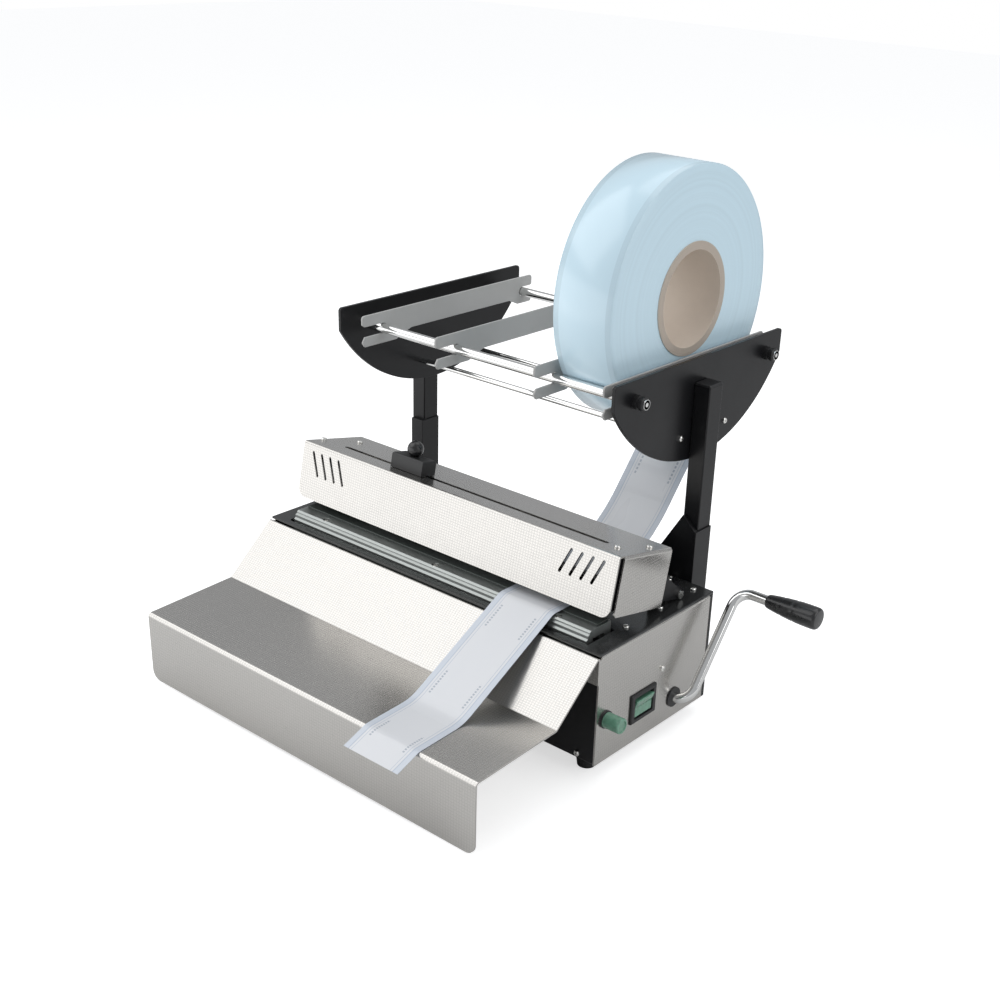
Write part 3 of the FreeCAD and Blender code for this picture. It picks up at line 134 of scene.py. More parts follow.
# ------------------------------------------------------------------ materials
class Value:
    """A number that varies over a surface: wraps a socket, so that sums are written as sums."""

    def __init__(self, paint, socket):
        self.paint = paint
        self.socket = socket

    def _with(self, operation, first, second):
        return self.paint.node("ShaderNodeMath", {"operation": operation}, {0: first, 1: second})

    def __add__(self, other):
        return self._with("ADD", self, other)

    def __radd__(self, other):
        return self._with("ADD", other, self)

    def __sub__(self, other):
        return self._with("SUBTRACT", self, other)

    def __rsub__(self, other):
        return self._with("SUBTRACT", other, self)

    def __mul__(self, other):
        return self._with("MULTIPLY", self, other)

    def __rmul__(self, other):
        return self._with("MULTIPLY", other, self)

    def __truediv__(self, other):
        return self._with("DIVIDE", self, other)

    def __mod__(self, other):
        return self._with("FLOORED_MODULO", self, other)

    def __lt__(self, other):
        return self._with("LESS_THAN", self, other)

    def __gt__(self, other):
        return self._with("GREATER_THAN", self, other)

    def clamped(self):
        return self.paint.node("ShaderNodeClamp", {}, {0: self})


class Paint:
    """A material with one Principled shader, built up from named nodes."""

    def __init__(self, name, colour, roughness, metallic=0.0, **fixed):
        self.material = bpy.data.materials.new(name)
        self.material.use_nodes = True
        self.tree = self.material.node_tree
        self.shader = self.tree.nodes["Principled BSDF"]
        self.shader.inputs["Base Color"].default_value = (*colour, 1)
        self.shader.inputs["Roughness"].default_value = roughness
        self.shader.inputs["Metallic"].default_value = metallic
        for socket, value in fixed.items():
            self.shader.inputs[socket.replace("_", " ")].default_value = value

    def node(self, kind, settings, sockets, out=0):
        """Add a node: its settings first, then the values or links of its sockets."""
        made = self.tree.nodes.new(kind)
        for name, value in settings.items():
            setattr(made, name, value)
        for key, value in sockets.items():
            self.put(made.inputs[key], value)
        return Value(self, made.outputs[out])

    def put(self, socket, value):
        if isinstance(value, Value):
            self.tree.links.new(value.socket, socket)
        else:
            socket.default_value = value

    def feed(self, socket, value):
        self.put(self.shader.inputs[socket], value)

    def place(self, out="Object"):
        return self.node("ShaderNodeTexCoord", {}, {}, out)

    def axes(self, vector):
        """The three parts of a vector, as values."""
        made = self.node("ShaderNodeSeparateXYZ", {}, {0: vector})
        return [Value(self, out) for out in made.socket.node.outputs]

    def noise(self, vector, scale, detail=2.0, roughness=0.5):
        return self.node("ShaderNodeTexNoise", {},
                         {"Vector": vector, "Scale": scale, "Detail": detail, "Roughness": roughness})

    def stretched(self, vector, scale):
        return self.node("ShaderNodeMapping", {}, {"Vector": vector, "Scale": scale})

    def blend(self, factor, first, second):
        """A colour between two colours."""
        ends = [(*colour, 1) if isinstance(colour, tuple) else colour for colour in (first, second)]
        return self.node("ShaderNodeMix", {"data_type": "RGBA"}, {0: factor, 6: ends[0], 7: ends[1]}, 2)

    def bump(self, height, distance, strength=1.0):
        self.feed("Normal", self.node("ShaderNodeBump", {},
                                      {"Height": height, "Distance": distance, "Strength": strength}))


def centred(paint, node):
    """Object coordinates counted from the middle of a node, as three values."""
    here = middle(node)
    back = tuple(-part for part in here)
    shifted = paint.node("ShaderNodeMapping", {}, {"Vector": paint.place(), "Location": back})
    return paint.axes(shifted)


def absolute(value):
    return value.paint.node("ShaderNodeMath", {"operation": "ABSOLUTE"}, {0: value})


def either(mask, yes, no):
    """yes where the mask is 1 and no where it is 0."""
    return mask * yes + (1 - mask) * no


def embossed_steel(colours):
    """Satin stainless sheet rolled with a fine square grid."""
    paint = Paint("satin stainless", colours.steel, 0.24, 1.0)
    x, y, z = paint.axes(paint.place())
    side = absolute(paint.axes(paint.place("Normal"))[0]) > 0.6
    pitch = 0.0026
    across = either(side, y, x) / pitch
    along = either(side, z, y + z) / pitch
    ridge = (absolute(across % 1 - 0.5) > 0.36) + (absolute(along % 1 - 0.5) > 0.36)
    ridge = ridge.clamped()
    grain = paint.noise(paint.stretched(paint.place(), (30, 30, 30)), 3.0, 3.0)
    soft = paint.noise(paint.place(), 9.0, 2.0)
    paint.feed("Base Color", paint.blend(ridge * 0.35 + (soft - 0.5) * 0.25, tuple(colours.steel),
                                         tuple(c * 0.72 for c in colours.steel)))
    paint.feed("Roughness", 0.17 + ridge * 0.06 + grain * 0.06)
    paint.bump(ridge * -1, 0.00004, 0.5)
    return paint.material


def plain_steel(colours):
    """Ground steel for blades, beams and bars, with a fine grain along the machine."""
    paint = Paint("ground steel", (0.60, 0.60, 0.59), 0.3, 1.0)
    grain = paint.noise(paint.stretched(paint.place(), (4, 900, 900)), 1.0, 2.0)
    paint.feed("Roughness", 0.22 + grain * 0.2)
    return paint.material


def enamel(colours):
    """Semi-gloss black enamel with the faint orange peel of sprayed paint."""
    paint = Paint("black enamel", colours.enamel, 0.32, 0.0, Specular_IOR_Level=0.35)
    peel = paint.noise(paint.place(), 900.0, 1.0)
    wear = paint.noise(paint.place(), 35.0, 4.0)
    paint.feed("Roughness", 0.27 + wear * 0.14)
    paint.bump(peel, 0.00002, 0.4)
    return paint.material


def deck(colours):
    """Dark polished plate."""
    paint = Paint("dark deck", colours.deck, 0.2, 0.75)
    cloud = paint.noise(paint.place(), 22.0, 4.0)
    paint.feed("Roughness", 0.12 + cloud * 0.16)
    return paint.material


def chrome(colours):
    paint = Paint("chrome", (0.80, 0.80, 0.79), 0.08, 1.0)
    paint.feed("Roughness", 0.06 + paint.noise(paint.place(), 60.0, 3.0) * 0.08)
    return paint.material


def zinc(colours):
    paint = Paint("bright screws", (0.82, 0.81, 0.78), 0.2, 1.0)
    paint.feed("Roughness", 0.14 + paint.noise(paint.place(), 300.0, 2.0) * 0.12)
    return paint.material


def anodised(colours):
    """Grey anodised extrusion with die lines along its length."""
    paint = Paint("anodised rail", (0.36, 0.38, 0.37), 0.34, 0.9)
    lines = paint.noise(paint.stretched(paint.place(), (2, 700, 700)), 1.0, 3.0)
    paint.feed("Roughness", 0.22 + lines * 0.25)
    paint.bump(lines, 0.00003, 0.5)
    return paint.material


def machined(colours):
    paint = Paint("machined bar", (0.66, 0.66, 0.65), 0.3, 1.0)
    paint.feed("Roughness", 0.2 + paint.noise(paint.stretched(paint.place(), (3, 500, 500)), 1.0) * 0.25)
    return paint.material


def silicone(colours):
    paint = Paint("sealing strip", (0.045, 0.055, 0.05), 0.55)
    weave = paint.noise(paint.place(), 1400.0, 1.0)
    paint.feed("Roughness", 0.42 + weave * 0.2)
    paint.bump(weave, 0.00004, 0.6)
    return paint.material


def rubber(colours):
    paint = Paint("rubber", (0.014, 0.014, 0.014), 0.6)
    paint.feed("Roughness", 0.5 + paint.noise(paint.place(), 500.0, 2.0) * 0.25)
    return paint.material


def black_plastic(colours):
    paint = Paint("black plastic", (0.014, 0.014, 0.015), 0.4)
    spark = paint.noise(paint.place(), 1600.0, 1.0)
    paint.feed("Roughness", 0.30 + spark * 0.18)
    paint.bump(spark, 0.00002, 0.4)
    return paint.material


def grip_plastic(colours):
    paint = Paint("grip", (0.012, 0.012, 0.013), 0.28, 0.0, Coat_Weight=0.3, Coat_Roughness=0.12)
    paint.feed("Roughness", 0.22 + paint.noise(paint.place(), 120.0, 3.0) * 0.14)
    return paint.material


def grey_plastic(colours):
    paint = Paint("divider grey", colours.divider, 0.4)
    cloud = paint.noise(paint.place(), 18.0, 3.0)
    paint.feed("Base Color", paint.blend(cloud, tuple(c * 0.86 for c in colours.divider),
                                         tuple(c * 1.1 for c in colours.divider)))
    paint.feed("Roughness", 0.3 + cloud * 0.2)
    return paint.material


def green_lens(colours):
    """Tinted lamp plastic: deep green, clear at the surface."""
    paint = Paint("green lens", colours.lamp, 0.12, 0.0, Coat_Weight=0.6, Coat_Roughness=0.05,
                  Transmission_Weight=0.25, IOR=1.49)
    depth = paint.noise(paint.place(), 260.0, 2.0)
    paint.feed("Base Color", paint.blend(depth, tuple(c * 0.65 for c in colours.lamp),
                                         tuple(min(1.0, c * 1.5) for c in colours.lamp)))
    return paint.material


def circuit_board(colours):
    paint = Paint("circuit board", (0.03, 0.12, 0.05), 0.4)
    paint.feed("Roughness", 0.3 + paint.noise(paint.place(), 200.0, 2.0) * 0.3)
    return paint.material


def lamination(colours):
    """Stacked iron sheets, seen as fine lines."""
    paint = Paint("laminations", (0.12, 0.11, 0.10), 0.5, 0.6)
    x = paint.axes(paint.place())[0]
    line = absolute(x / 0.0010 % 1 - 0.5) > 0.4
    paint.feed("Base Color", paint.blend(line, (0.13, 0.12, 0.11), (0.05, 0.045, 0.04)))
    return paint.material


def heat_board(colours):
    paint = Paint("heat board", (0.62, 0.56, 0.44), 0.7)
    paint.feed("Roughness", 0.6 + paint.noise(paint.place(), 400.0, 2.0) * 0.2)
    return paint.material


def wound_film(colours):
    """Reel: many turns seen on end as rings, with the paler paper through the clear film outside."""
    paint = Paint("wound film", colours.film, 0.3, 0.0, Coat_Weight=0.35, Coat_Roughness=0.15)
    x, y, z = centred(paint, "film_roll")
    side = absolute(paint.axes(paint.place("Normal"))[0]) > 0.6
    radius = paint.node("ShaderNodeVectorMath", {"operation": "LENGTH"},
                        {0: paint.node("ShaderNodeCombineXYZ", {}, {1: y, 2: z})}, 1)
    ring = paint.noise(paint.node("ShaderNodeCombineXYZ", {}, {0: radius * 260, 1: x * 2}), 1.0, 3.0)
    broad = paint.noise(paint.node("ShaderNodeCombineXYZ", {}, {0: radius * 60, 1: x * 2}), 1.0, 2.0)
    paper = absolute(x) < width("film_roll").x * 0.40
    tone = either(side, ring * 0.55 + broad * 0.35, either(paper, 0.16, 0.5) + broad * 0.1)
    pale = tuple(min(1.0, c * 1.12) for c in colours.film)
    deep = tuple(c * 0.80 for c in colours.film)
    paint.feed("Base Color", paint.blend(tone.clamped(), pale, deep))
    paint.feed("Roughness", either(side, 0.42 + ring * 0.15, 0.16 + broad * 0.12))
    paint.bump(side * ring, 0.00025, 0.5)
    return paint.material


def pouch_film(colours, margin):
    """Free film: paper seen through clear film, with sealed edges and small printed ticks."""
    paint = Paint("pouch film", colours.paper, 0.3, 0.0, Coat_Weight=0.5, Coat_Roughness=0.1)
    x, y, z = centred(paint, "film_web")
    half = width("film_web").x / 2
    out = absolute(x)
    sealed = out > half - margin
    line = absolute(out - (half - margin)) < 0.0004
    inner_line = absolute(out - (half - margin * 1.5)) < 0.00025
    tick = (absolute(out - (half - margin * 2.1)) < 0.0009) * (absolute(y / 0.0023 % 1 - 0.5) < 0.3)
    tick = tick * ((y / 0.062 % 1) < 0.34)
    crease = paint.noise(paint.stretched(paint.place(), (30, 9, 9)), 1.0, 3.0)
    white = tuple(min(1.0, c * 1.06) for c in colours.paper)
    bluish = tuple(c * f for c, f in zip(colours.paper, (0.86, 0.92, 1.0)))
    base = paint.blend(sealed * 0.8 + crease * 0.2, white, bluish)
    base = paint.blend(((line + inner_line) * 0.55).clamped(), base, (0.30, 0.38, 0.50))
    paint.feed("Base Color", paint.blend(tick * 0.6, base, (0.20, 0.25, 0.33)))
    paint.feed("Roughness", 0.2 + crease * 0.2)
    paint.bump(crease, 0.0006, 0.5)
    return paint.material


def cardboard(colours):
    """Wound board tube, with the rings of its layers darker on its cut ends, and a fine fibre grain."""
    paint = Paint("reel core", colours.board, 0.75)
    x, y, z = centred(paint, "roll_core")
    side = absolute(paint.axes(paint.place("Normal"))[0]) > 0.6
    radius = paint.node("ShaderNodeVectorMath", {"operation": "LENGTH"},
                        {0: paint.node("ShaderNodeCombineXYZ", {}, {1: y, 2: z})}, 1)
    layer = paint.noise(paint.node("ShaderNodeCombineXYZ", {}, {0: radius * 1500}), 1.0, 1.0)
    fibre = paint.noise(paint.place(), 180.0, 4.0)
    dark = tuple(c * 0.6 for c in colours.board)
    paint.feed("Base Color", paint.blend((side * (0.35 + layer * 0.5) + fibre * 0.15).clamped(),
                                         tuple(colours.board), dark))
    paint.bump(fibre, 0.0001, 0.4)
    return paint.material


FINISHES = {
    "stainless": embossed_steel, "black_paint": enamel, "dark_plate": deck, "chrome": chrome, "zinc": zinc,
    "rail_aluminium": anodised, "bar_aluminium": machined, "silicone": silicone, "rubber": rubber,
    "black_plastic": black_plastic, "grey_plastic": grey_plastic, "green_lens": green_lens,
    "board": circuit_board, "copper_iron": lamination, "insulator": heat_board, "blade_steel": plain_steel,
    "film": wound_film, "cardboard": cardboard,
}


def finish_for(slot):
    """The finish of a material slot, made once."""
    name = "sealer_" + slot
    if name not in bpy.data.materials:
        scene = bpy.context.scene
        if slot == "film_sheet":
            made = pouch_film(scene.sealer_colours, scene.sealer_sizes.seal_margin)
        elif slot == "grip":
            made = grip_plastic(scene.sealer_colours)
        else:
            made = FINISHES[slot](scene.sealer_colours)
        made.name = name
    return bpy.data.materials[name]


SLOT_OF = {entry["node"]: entry["material_slot"] for entry in frame["record"]["subparts"]}
BODY_OF = {node: body for body, nodes in frame["record"]["behaviour"]["bodies"].items() for node in nodes}


# ------------------------------------------------------------------ pieces
def finished(name, bm, slot, body, smooth=40.0):
    """Turn a bmesh into a finished piece that rides on a body."""
    bmesh.ops.remove_doubles(bm, verts=bm.verts, dist=1e-7)
    bmesh.ops.recalc_face_normals(bm, faces=bm.faces)
    mesh = bpy.data.meshes.new(name)
    bm.to_mesh(mesh)
    bm.free()
    piece = bpy.data.objects.new(name, mesh)
    bpy.context.scene.collection.objects.link(piece)
    mesh.materials.append(finish_for(slot))
    mesh.shade_smooth()
    mesh.set_sharp_from_angle(angle=math.radians(smooth))
    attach(piece, body)
    return piece


def node_copy(node):
    """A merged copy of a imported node's mesh, with its flat faces whole again."""
    bm = bmesh.new()
    bm.from_mesh(frame["nodes"][node].data)
    bmesh.ops.remove_doubles(bm, verts=bm.verts, dist=1e-6)
    bmesh.ops.dissolve_limit(bm, angle_limit=math.radians(1.0), verts=bm.verts, edges=bm.edges)
    return bm


def eased(node, edge, segments=2):
    """A copy of a node with its sharp edges rounded; it stands for the node."""
    bm = node_copy(node)
    sharp = [e for e in bm.edges if len(e.link_faces) == 2 and e.calc_face_angle(0) > math.radians(32)]
    bmesh.ops.bevel(bm, geom=sharp, offset=edge, offset_type="OFFSET", segments=segments, profile=0.5,
                    affect="EDGES", clamp_overlap=True, material=-1)
    piece = finished("eased_" + node, bm, SLOT_OF[node], BODY_OF[node])
    weighted = piece.modifiers.new("even shading", "WEIGHTED_NORMAL")
    weighted.keep_sharp = True
    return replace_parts(piece, node)


def turned(profile, origin, axis, steps=64):
    """A bmesh turned from (radius, distance along the axis) points about an axis."""
    bm = bmesh.new()
    points = [bm.verts.new((r, 0, h)) for r, h in profile]
    edges = [bm.edges.new(pair) for pair in zip(points, points[1:])]
    bmesh.ops.spin(bm, geom=points + edges, cent=(0, 0, 0), axis=(0, 0, 1), angle=math.tau, steps=steps,
                   use_merge=True)
    bmesh.ops.remove_doubles(bm, verts=bm.verts, dist=1e-7)
    lean = Vector((0, 0, 1)).rotation_difference(Vector(axis)).to_matrix().to_4x4()
    bmesh.ops.transform(bm, matrix=Matrix.Translation(origin) @ lean, verts=bm.verts)
    return bm


def joined(parts):
    """One bmesh that holds all the given ones."""
    whole = bmesh.new()
    for part in parts:
        bmesh.ops.recalc_face_normals(part, faces=part.faces)
        mesh = bpy.data.meshes.new("part")
        part.to_mesh(mesh)
        part.free()
        whole.from_mesh(mesh)
        bpy.data.meshes.remove(mesh)
    return whole


def islands(bm):
    """The separate solids of a bmesh, as lists of faces."""
    left = set(bm.faces)
    found = []
    while left:
        stack = [left.pop()]
        group = []
        while stack:
            face = stack.pop()
            group.append(face)
            for edge in face.edges:
                for other in edge.link_faces:
                    if other in left:
                        left.remove(other)
                        stack.append(other)
        found.append(group)
    return found


def head_seats(node):
    """Where a node's plain screw heads sit: (point on the surface, outward direction, radius)."""
    bm = node_copy(node)
    seats = []
    for group in islands(bm):
        caps = sorted(group, key=lambda f: f.calc_area())[-2:]
        top, base = caps
        seats.append((base.calc_center_median(), top.normal.copy(), math.sqrt(base.calc_area() / math.pi)))
    bm.free()
    return seats


def dome(radius, crown):
    """Half section of a pan head, from its seat up over the rounded rim to the middle."""
    rim = crown * 0.55
    arc = [math.radians(a) for a in (0, 22, 45, 68, 90)]
    curve = [(radius - rim + rim * math.cos(a), crown - rim + rim * math.sin(a)) for a in arc]
    return [(0, 0), (radius, 0)] + curve + [(radius * 0.25, crown), (0, crown)]


def cross_head(radius, crown, depth):
    """Mesh of a pan head with its cross cut by two tapered bars."""
    head = turned(dome(radius, crown), (0, 0, 0), (0, 0, 1), 32)
    bars = []
    for turn in (0, math.pi / 2):
        bar = bmesh.new()
        bmesh.ops.create_cube(bar, size=1, matrix=Matrix.Rotation(turn, 4, "Z")
                              @ Matrix.Diagonal((radius * 1.15, radius * 0.24, depth * 2, 1)))
        bmesh.ops.translate(bar, vec=(0, 0, crown), verts=bar.verts)
        low = [v for v in bar.verts if v.co.z < crown]
        bmesh.ops.scale(bar, vec=(0.45, 0.45, 1), verts=low)
        bars.append(bar)
    solid = loose("head", head)
    cutters = [loose("bar", bar) for bar in bars]
    for cutter in cutters:
        cut = solid.modifiers.new("cross", "BOOLEAN")
        cut.object = cutter
        cut.operation = "DIFFERENCE"
    shaped = solid.evaluated_get(bpy.context.evaluated_depsgraph_get())
    mesh = bpy.data.meshes.new_from_object(shaped)
    for made in [solid] + cutters:
        bpy.data.objects.remove(made)
    return mesh


def loose(name, bm):
    """A plain object from a bmesh, for a cut."""
    bmesh.ops.recalc_face_normals(bm, faces=bm.faces)
    mesh = bpy.data.meshes.new(name)
    bm.to_mesh(mesh)
    bm.free()
    made = bpy.data.objects.new(name, mesh)
    bpy.context.scene.collection.objects.link(made)
    return made


def screws(node, sizes):
    """Cross-recessed pan heads in place of a node's plain ones."""
    whole = bmesh.new()
    heads = {}
    for number, (seat, out, radius) in enumerate(head_seats(node)):
        key = round(radius, 5)
        if key not in heads:
            heads[key] = cross_head(radius, sizes.screw_crown, sizes.recess_depth)
        old = len(whole.verts)
        whole.from_mesh(heads[key])
        whole.verts.ensure_lookup_table()
        lean = Vector((0, 0, 1)).rotation_difference(out).to_matrix().to_4x4()
        turn = Matrix.Rotation(0.5 + number * 1.3, 4, "Z")
        bmesh.ops.transform(whole, matrix=Matrix.Translation(seat) @ lean @ turn, verts=whole.verts[old:])
    piece = finished("crossed_" + node, whole, SLOT_OF[node], BODY_OF[node])
    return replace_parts(piece, node)


class SEALER_OT_finishes(bpy.types.Operator):
    """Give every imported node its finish"""
    bl_idname = "sealer.finishes"
    bl_label = "Finishes"

    def execute(self, context):
        for node, made in frame["nodes"].items():
            made.data.materials.clear()
            made.data.materials.append(finish_for(SLOT_OF[node]))
        return {"FINISHED"}


class SEALER_OT_eased(bpy.types.Operator):
    """Round the edges of the plates, brackets, mouldings and caps"""
    bl_idname = "sealer.eased"
    bl_label = "Eased edges"

    def execute(self, context):
        sizes = context.scene.sealer_sizes
        for node in ("top_plate", "jaw_rail", "reel_plate_left", "reel_plate_right", "rear_panel",
                     "post_bracket_left", "post_bracket_right", "hinge_brackets", "silicone_strip"):
            eased(node, sizes.sheet_edge)
        for node in ("knife_block", "switch_bezel", "post_caps", "rocker", "divider_1", "divider_2",
                     "divider_3", "divider_4"):
            eased(node, sizes.moulding_edge, 3)
        eased("rubber_feet", sizes.sheet_edge, 3)
        return {"FINISHED"}


class SEALER_OT_screws(bpy.types.Operator):
    """Cross-recessed screw heads on the case, the head's cover and the reel stand"""
    bl_idname = "sealer.screws"
    bl_label = "Screw heads"

    def execute(self, context):
        for node in ("case_screws", "cover_screws", "stand_screws"):
            screws(node, context.scene.sealer_sizes)
        return {"FINISHED"}


class SEALER_OT_grip(bpy.types.Operator):
    """Barrel grip of the crank, with shallow bands"""
    bl_idname = "sealer.grip"
    bl_label = "Crank grip"

    def execute(self, context):
        low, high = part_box("crank_grip")
        length = high.x - low.x
        full = (high.z - low.z) / 2
        bands = context.scene.sealer_sizes.grip_ribs
        profile = [(0, 0), (full * 0.56, 0), (full * 0.60, length * 0.012)]
        for i in range(1, 33):
            t = i / 33
            swell = 0.60 + 0.40 * math.sin(min(1.0, t * 1.16) * math.pi / 2) ** 0.9
            groove = sum(0.035 * math.exp(-((t - 0.30 - 0.14 * k) / 0.012) ** 2) for k in range(bands))
            profile.append((full * (swell - groove), length * t * 0.955))
        for a in (15, 35, 55, 75, 90):
            turn = math.radians(a)
            profile.append((full * (0.78 + 0.21 * math.cos(turn)), length * (0.945 + 0.055 * math.sin(turn))))
        profile.append((0, length))
        grip = turned(profile, (low.x, middle("crank_grip").y, middle("crank_grip").z), (1, 0, 0), 72)
        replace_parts(finished("banded_grip", grip, "grip", "lever"), "crank_grip")
        return {"FINISHED"}


class SEALER_OT_knob(bpy.types.Operator):
    """Ball knob of the knife"""
    bl_idname = "sealer.knob"
    bl_label = "Knife ball"

    def execute(self, context):
        centre = middle("knife_ball")
        radius = width("knife_ball").x / 2
        ball = bmesh.new()
        bmesh.ops.create_uvsphere(ball, u_segments=48, v_segments=32, radius=radius,
                                  matrix=Matrix.Translation(centre))
        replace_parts(finished("round_knob", ball, "grip", "knife"), "knife_ball")
        return {"FINISHED"}


class SEALER_OT_lamp(bpy.types.Operator):
    """Pilot lamp with a rounded rim and a sunk end"""
    bl_idname = "sealer.lamp"
    bl_label = "Pilot lamp"

    def execute(self, context):
        low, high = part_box("lamp_lens")
        radius = (high.z - low.z) / 2
        length = high.x - low.x
        rim = 0.0012
        profile = [(0, 0), (radius, 0), (radius, length - rim)]
        for angle in (30, 60, 90):
            turn = math.radians(angle)
            profile.append((radius - rim * (1 - math.cos(turn)), length - rim * (1 - math.sin(turn))))
        sunk = 0.0007
        profile += [(radius * 0.70, length), (radius * 0.66, length - sunk), (0, length - sunk)]
        lens = turned(profile, (low.x, middle("lamp_lens").y, middle("lamp_lens").z), (1, 0, 0), 64)
        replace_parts(finished("round_lens", lens, "green_lens", "base"), "lamp_lens")
        return {"FINISHED"}


class SEALER_OT_reel(bpy.types.Operator):
    """Film reel with the fine steps of its windings on both sides"""
    bl_idname = "sealer.reel"
    bl_label = "Film reel"

    def execute(self, context):
        low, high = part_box("film_roll")
        outer = (high.z - low.z) / 2
        inner = width("roll_core").z / 2
        pitch = context.scene.sealer_sizes.winding_pitch
        count = int((outer - inner) / pitch)
        rings = [inner + (outer - inner) * i / count for i in range(1, count)]
        step = 0.00035
        rim = 0.0006
        sunk = 0.0003
        near = []
        far = []
        for i, r in enumerate(rings):
            near.append((r, low.x + step * (1 + math.sin(i * 2.1) * math.sin(i * 0.7))))
            far.append((r, high.x - step * (1 + math.sin(i * 1.7) * math.sin(i * 0.9))))
        profile = [(inner, low.x + sunk)] + near + [(outer - rim, low.x), (outer, low.x + rim)]
        profile += [(outer, high.x - rim), (outer - rim, high.x)] + far[::-1] + [(inner, high.x - sunk)]
        profile.append(profile[0])
        reel = turned(profile, (0, middle("film_roll").y, middle("film_roll").z), (1, 0, 0), 160)
        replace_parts(finished("wound_reel", reel, "film", "roll", 50), "film_roll")
        return {"FINISHED"}


class SEALER_OT_rod_ends(bpy.types.Operator):
    """Collars and drilled ends of the reel rods, outside the plates"""
    bl_idname = "sealer.rod_ends"
    bl_label = "Rod ends"

    def execute(self, context):
        bm = node_copy("rod_collars")
        collars = []
        tips = []
        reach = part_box("reel_rods")
        for group in islands(bm):
            points = [v.co for face in group for v in face.verts]
            low = Vector(tuple(min(p[i] for p in points) for i in range(3)))
            high = Vector(tuple(max(p[i] for p in points) for i in range(3)))
            radius = (high.z - low.z) / 2
            bore = width("reel_rods").z / 2
            right = low.x > middle("reel_rods").x
            start = low.x if right else high.x
            end = reach[1].x if right else reach[0].x
            axis = (1, 0, 0) if right else (-1, 0, 0)
            place = (start, (low.y + high.y) / 2, (low.z + high.z) / 2)
            long = high.x - low.x
            ease = 0.0007
            slim = radius - ease
            ring = [(bore, 0), (radius, 0), (radius, long * 0.42), (slim, long * 0.46), (slim, long * 0.54),
                    (radius, long * 0.58), (radius, long - ease), (slim, long), (bore, long), (bore, 0)]
            collars.append(turned(ring, place, axis, 48))
            tip = abs(end - start)
            drilled = tip - 0.0012
            nose = [(0, long), (bore * 1.02, long), (bore * 1.02, tip - 0.0003), (bore * 0.9, tip),
                    (bore * 0.42, tip), (bore * 0.3, drilled), (0, drilled)]
            tips.append(turned(nose, place, axis, 40))
        bm.free()
        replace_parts(finished("stepped_collars", joined(collars), "black_plastic", "base"), "rod_collars")
        finished("drilled_tips", joined(tips), "chrome", "base")
        return {"FINISHED"}


# ------------------------------------------------------------------ stage
def lamp(name, place, aim, size, power, colour=(1, 1, 1)):
    data = bpy.data.lights.new(name, "AREA")
    data.shape = "RECTANGLE"
    data.size, data.size_y = size
    data.energy = power
    data.color = colour
    made = bpy.data.objects.new(name, data)
    made.location = place
    made.rotation_euler = (Vector(aim) - Vector(place)).to_track_quat("-Z", "Y").to_euler()
    bpy.context.scene.collection.objects.link(made)
    return made


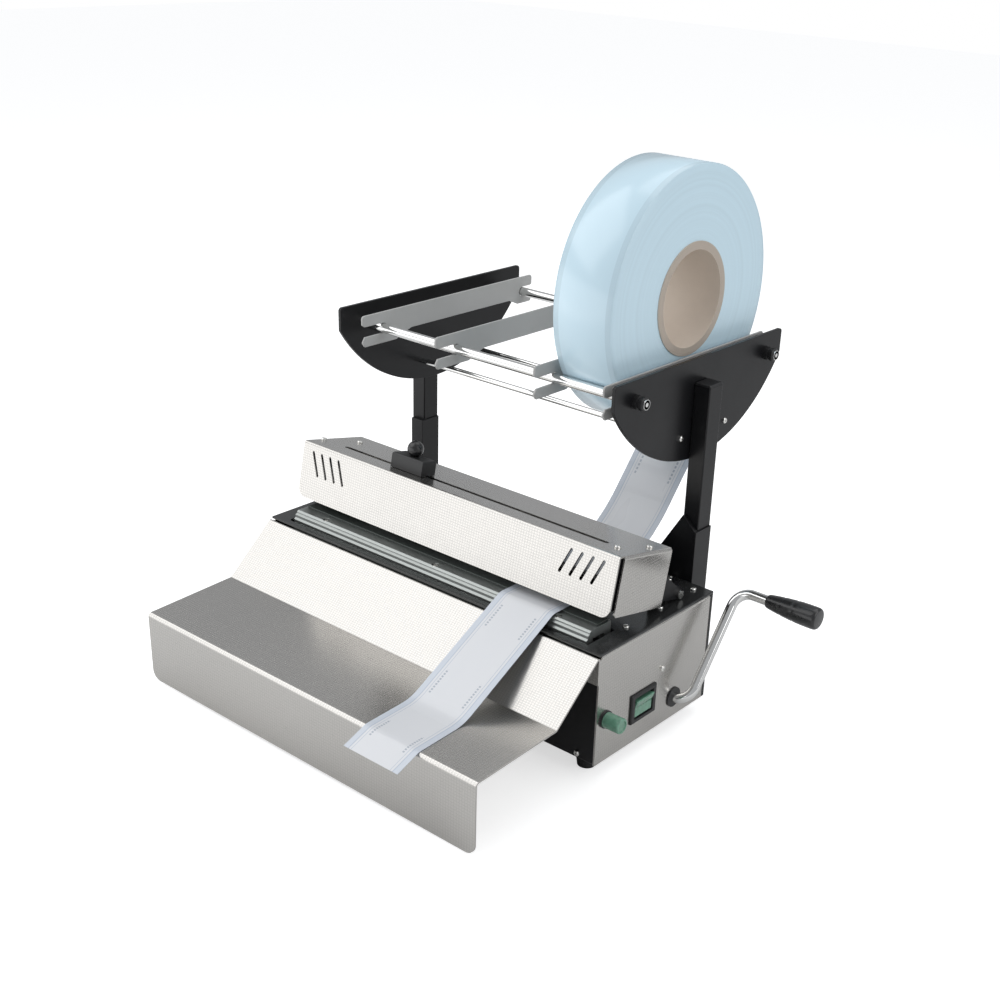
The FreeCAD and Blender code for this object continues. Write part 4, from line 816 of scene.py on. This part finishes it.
class SEALER_OT_stage(bpy.types.Operator):
    """Floor, soft lamps, pale surroundings and the camera"""
    bl_idname = "sealer.stage"
    bl_label = "Stage"

    def execute(self, context):
        stage = context.scene.sealer_stage
        self.floor(stage)
        self.surroundings(stage)
        self.lamps(stage)
        self.camera(stage)
        context.scene.view_settings.view_transform = "Standard"
        return {"FINISHED"}

    def floor(self, stage):
        bm = bmesh.new()
        bmesh.ops.create_grid(bm, x_segments=1, y_segments=1, size=6)
        floor = loose("floor", bm)
        paint = Paint("floor", stage.floor, 0.9)
        tree = paint.tree
        ray = tree.nodes.new("ShaderNodeLightPath")
        glow = tree.nodes.new("ShaderNodeEmission")
        glow.inputs["Strength"].default_value = 0.62
        both = tree.nodes.new("ShaderNodeAddShader")
        tree.links.new(paint.shader.outputs[0], both.inputs[0])
        tree.links.new(glow.outputs[0], both.inputs[1])
        pick = tree.nodes.new("ShaderNodeMixShader")
        tree.links.new(ray.outputs["Is Camera Ray"], pick.inputs[0])
        tree.links.new(paint.shader.outputs[0], pick.inputs[1])
        tree.links.new(both.outputs[0], pick.inputs[2])
        tree.links.new(pick.outputs[0], tree.nodes["Material Output"].inputs[0])
        floor.data.materials.append(paint.material)

    def surroundings(self, stage):
        world = bpy.data.worlds.new("studio")
        world.use_nodes = True
        bpy.context.scene.world = world
        tree = world.node_tree
        ray = tree.nodes.new("ShaderNodeLightPath")
        pale = tree.nodes.new("ShaderNodeBackground")
        pale.inputs[0].default_value = (1, 1, 1, 1)
        dim = tree.nodes["Background"]
        dim.inputs[0].default_value = (0.95, 0.97, 1.0, 1)
        dim.inputs[1].default_value = 0.45
        pick = tree.nodes.new("ShaderNodeMixShader")
        tree.links.new(ray.outputs["Is Camera Ray"], pick.inputs[0])
        tree.links.new(dim.outputs[0], pick.inputs[1])
        tree.links.new(pale.outputs[0], pick.inputs[2])
        tree.links.new(pick.outputs[0], tree.nodes["World Output"].inputs[0])

    def lamps(self, stage):
        low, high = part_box("head_cover")
        centre = (low + high) / 2
        cards = (
            ("sky", (-0.565, -0.338, 0.752), 1.7, (1.8, 1.5), 1.35),
            ("front", (-0.565, -0.816, 0.06), 0.95, (1.9, 0.55), 1.2),
            ("right", (0.86, 0.18, 0.48), 1.9, (1.5, 1.5), 1.5),
            ("above", (0.1, 0.35, 0.93), 2.0, (1.5, 1.5), 1.2),
        )
        for name, way, far, size, glow in cards:
            power = stage.key * glow * math.pi * size[0] * size[1]
            card = lamp(name, centre + Vector(way).normalized() * far, centre, size, power)
            card.visible_camera = False

    def camera(self, stage):
        data = bpy.data.cameras.new("camera")
        data.lens = stage.lens * 1000
        data.sensor_width = 36
        data.shift_x = stage.shift_x
        data.shift_y = stage.shift_y
        made = bpy.data.objects.new("camera", data)
        deck_low, deck_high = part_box("top_plate")
        edge = Vector(((deck_low.x + deck_high.x) / 2, deck_low.y, deck_high.z))
        eye = edge + Vector(stage.stand)
        turn = Matrix.Rotation(stage.turn, 3, "Z")
        ahead = turn @ Vector((0, math.cos(stage.dip), -math.sin(stage.dip)))
        right = turn @ Vector((1, 0, 0))
        up = right.cross(ahead)
        across = right * math.cos(stage.roll) + up * math.sin(stage.roll)
        above = up * math.cos(stage.roll) - right * math.sin(stage.roll)
        made.matrix_world = Matrix.Translation(eye) @ Matrix((across, above, -ahead)).transposed().to_4x4()
        bpy.context.scene.collection.objects.link(made)
        bpy.context.scene.camera = made


class SEALER_PT_panel(bpy.types.Panel):
    """Lists the sealer's sizes, colours and steps"""
    bl_label = "Pouch heat sealer"
    bl_idname = "SEALER_PT_panel"
    bl_space_type = "VIEW_3D"
    bl_region_type = "UI"
    bl_category = "Sealer"

    def draw(self, context):
        for step in STEPS:
            self.layout.operator("sealer." + step)
        for group in (context.scene.sealer_sizes, context.scene.sealer_colours, context.scene.sealer_stage):
            box = self.layout.box()
            for name in group.bl_rna.properties.keys():
                if name not in ("rna_type", "name"):
                    box.prop(group, name)


STEPS = ("finishes", "eased", "screws", "grip", "knob", "lamp", "reel", "rod_ends", "stage")
CLASSES = (SealerSizes, SealerColours, SealerStage, SEALER_OT_finishes, SEALER_OT_eased, SEALER_OT_screws,
           SEALER_OT_grip, SEALER_OT_knob, SEALER_OT_lamp, SEALER_OT_reel, SEALER_OT_rod_ends,
           SEALER_OT_stage, SEALER_PT_panel)


def register():
    for made in CLASSES:
        bpy.utils.register_class(made)
    bpy.types.Scene.sealer_sizes = PointerProperty(type=SealerSizes)
    bpy.types.Scene.sealer_colours = PointerProperty(type=SealerColours)
    bpy.types.Scene.sealer_stage = PointerProperty(type=SealerStage)


def unregister():
    del bpy.types.Scene.sealer_stage
    del bpy.types.Scene.sealer_colours
    del bpy.types.Scene.sealer_sizes
    for made in reversed(CLASSES):
        bpy.utils.unregister_class(made)


def main():
    register()
    for step in STEPS:
        getattr(bpy.ops.sealer, step)()


if __name__ == "__main__":
    main()
